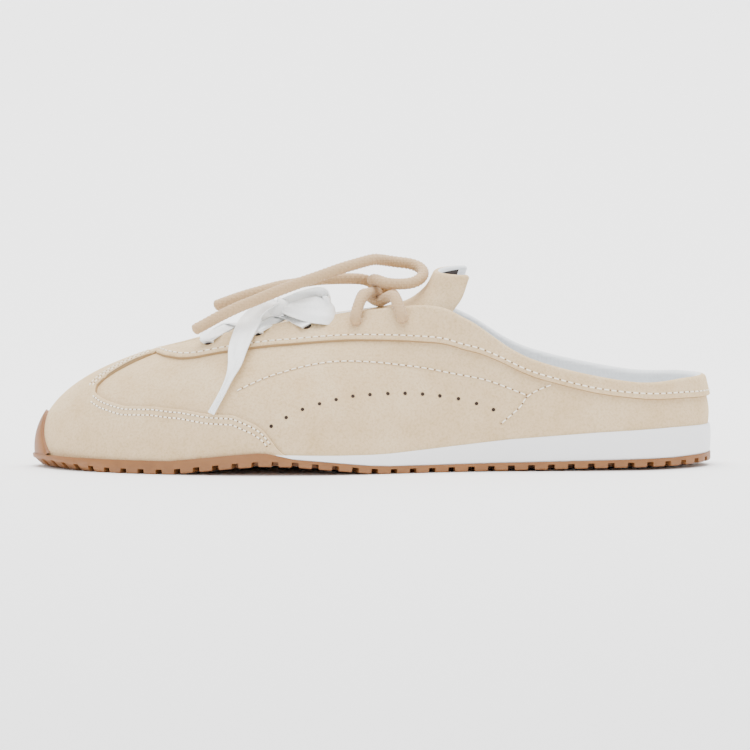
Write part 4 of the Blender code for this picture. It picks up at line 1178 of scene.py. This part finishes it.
class MULE_OT_sole(bpy.types.Operator):
    """Builds the lugged gum outsole with its toe rim, the foam wedge and the insole"""

    bl_idname = "mule.sole"
    bl_label = "Sole"

    def execute(self, context):
        self.outsole()
        self.midsole()
        self.insole()
        return {"FINISHED"}

    def outsole(self):
        fine = np.linspace(0, ROWS, 3000)
        flat = raw_outline(fine)
        run = np.concatenate([[0], np.cumsum(np.linalg.norm(np.diff(flat, axis=0), axis=1))])
        count = round(run[-1] / LUG_PITCH)
        pitch = run[-1] / count
        lug = pitch - GROOVE_WIDTH
        marks, deep = [], []
        for k in range(count):
            for share in (0.0, 0.03, 0.35, 0.65, 0.97, 1.0):
                marks.append(k * pitch - lug / 2 + lug * share)
                deep.append(0.0 if 0.0 < share < 1.0 else 0.12)
            for share in (0.04, 0.5, 0.96):
                marks.append(k * pitch + lug / 2 + GROOVE_WIDTH * share)
                deep.append(1.0)
        places = np.interp(np.mod(marks, run[-1]), run, fine)
        deep = np.array(deep)
        x = outline(places)[:, 0]
        low, top, roll = bottom_at(x), sole_top_at(x), toe_share(x)
        tall = GROOVE_HEIGHT + roll * 1.56 * MM
        under = 0.5 * MM + roll * 6.0 * MM
        shoulder = low + 0.5 * MM + roll * 2.86 * MM
        cut = low + tall * deep
        rings = [
            inset_ring(places, 0 * x + 9.0 * MM, top - 0.1 * MM),
            inset_ring(places, 0 * x + 0.15 * MM, top - 0.05 * MM),
            inset_ring(places, 0 * x, top - 0.25 * MM),
            inset_ring(places, 0.04 * under, np.maximum(shoulder + 0.3 * MM, cut)),
            inset_ring(places, 0.14 * under + 0.5 * MM * deep, np.maximum(shoulder, cut)),
            inset_ring(places, 0.55 * under + 0.5 * MM * deep,
                       np.maximum(low + 0.28 * (shoulder - low), cut)),
            inset_ring(places, under, np.maximum(low, cut)),
            inset_ring(places, 0 * x + GROOVE_DEPTH + under * 0.2, cut),
            inset_ring(places, 0 * x + GROOVE_DEPTH + 0.3 * MM + under * 0.2, low),
        ]
        edge = rings[-1]
        centre = middle_line(edge)
        for share in (0.33, 0.66, 1.0):
            rings.append(edge * (1 - share) + centre * share)
        points = np.stack(rings, 1)
        piece = add_grid("outsole_gum", points, look("gum_rubber_pressed"), closed=True,
                         flip=True, sharp=50)
        settle(piece, "gum_rubber", "outsole")

        places = np.linspace(-1.2, 1.2, 121)
        x = outline(places)[:, 0]
        tall = GUARD_HEIGHT * (1 - eased(np.abs(places + 0.1), 0.10, 0.80))
        keep = tall > 0.4 * MM
        places, tall = places[keep], tall[keep]
        foot = skin(places, np.zeros_like(places))
        levels = np.zeros_like(places)
        for level in np.linspace(0, 0.6, 200):
            height = skin(places, level + 0 * places)[:, 2]
            levels = np.where(height < foot[:, 2] + tall, level, levels)
        share = np.concatenate([[-0.06, 0.0], np.linspace(0, 1, 16)[1:], [1.0]])
        grid = np.where(share[None] < 0, share[None] * 0.5,
                        levels[:, None] * np.maximum(share, 0)[None])
        around = places[:, None] + 0 * grid
        thick = 1.5 * MM + (2.2 - 1.0 * np.clip(share, 0, 1)) * MM
        thick[-1] = 0.8 * MM
        points = skin(around, grid) + skin_normal(around, grid) * thick[None, :, None]
        piece = add_grid("toe_rim_gum", points, look("gum_rubber_pressed"))
        settle(piece, "gum_rubber")

    def midsole(self):
        places = even_places(900)
        x = outline(places)[:, 0]
        inside = np.nonzero(x > -0.135 * sizes().length)[0]
        places = places[inside[0]:inside[-1] + 1]
        x = outline(places)[:, 0]
        low = sole_top_at(x)
        top = np.maximum(bed_at(x) + 0.2 * MM, low + 0.25 * MM)
        rings = []
        for share in (-1.0, *np.linspace(0, 1, 13), 2.0):
            t = min(max(share, 0.0), 1.0)
            inset = 0.45 * MM * abs(2 * t - 1) ** 5
            if share != t:
                inset = 5.0 * MM
            rings.append(inset_ring(places, 0 * x + inset, low + (top - low) * t))
        piece = add_grid("midsole_foam", np.stack(rings, 1), look("foam_moulded"))
        settle(piece, "foam", "midsole")

    def insole(self):
        places = even_places(261)[:-1]
        x = outline(places)[:, 0]
        inset = edge_inset(x) + 3.1 * MM
        low = bed_at(x) + 0.5 * MM
        top = low + INSOLE_THICK
        rings = [inset_ring(places, inset, low), inset_ring(places, inset, top - 0.5 * MM),
                 inset_ring(places, inset + 0.5 * MM, top)]
        rings.append(inset_ring(places, inset + 8 * MM, top - 0.7 * MM))
        centre = middle_line(rings[-1])
        centre[:, 2] -= 0.3 * MM
        edge = rings[-1]
        for share in np.linspace(0, 1, 8)[1:]:
            rings.append(edge * (1 - share) + centre * share)
        piece = add_grid("insole_sock", np.stack(rings, 1), look("lining_knit"), closed=True)
        settle(piece, "sock_lining", "insole")


class MULE_PT_panel(bpy.types.Panel):
    """The shoe's sizes, colours and pieces"""

    bl_idname = "MULE_PT_panel"
    bl_label = "Sneaker mule"
    bl_space_type = "VIEW_3D"
    bl_region_type = "UI"
    bl_category = "Mule"

    def draw(self, context):
        for kind in OPERATORS:
            self.layout.operator(kind.bl_idname)
        for group in (context.scene.mule_sizes, context.scene.mule_colours):
            for name in group.__annotations__:
                self.layout.prop(group, name)


OPERATORS = (MULE_OT_stage, MULE_OT_cords, MULE_OT_ribbon, MULE_OT_upper, MULE_OT_overlays,
             MULE_OT_stitches, MULE_OT_tongue, MULE_OT_sole)
CLASSES = (MuleSizes, MuleColours, *OPERATORS, MULE_PT_panel)


def register():
    for kind in CLASSES:
        bpy.utils.register_class(kind)
    bpy.types.Scene.mule_sizes = bpy.props.PointerProperty(type=MuleSizes)
    bpy.types.Scene.mule_colours = bpy.props.PointerProperty(type=MuleColours)


def unregister():
    del bpy.types.Scene.mule_colours
    del bpy.types.Scene.mule_sizes
    for kind in reversed(CLASSES):
        bpy.utils.unregister_class(kind)


def main():
    register()
    bpy.ops.mule.stage()
    bpy.ops.mule.cords()
    bpy.ops.mule.ribbon()
    bpy.ops.mule.upper()
    bpy.ops.mule.overlays()
    bpy.ops.mule.stitches()
    bpy.ops.mule.tongue()
    bpy.ops.mule.sole()


if __name__ == "__main__":
    main()
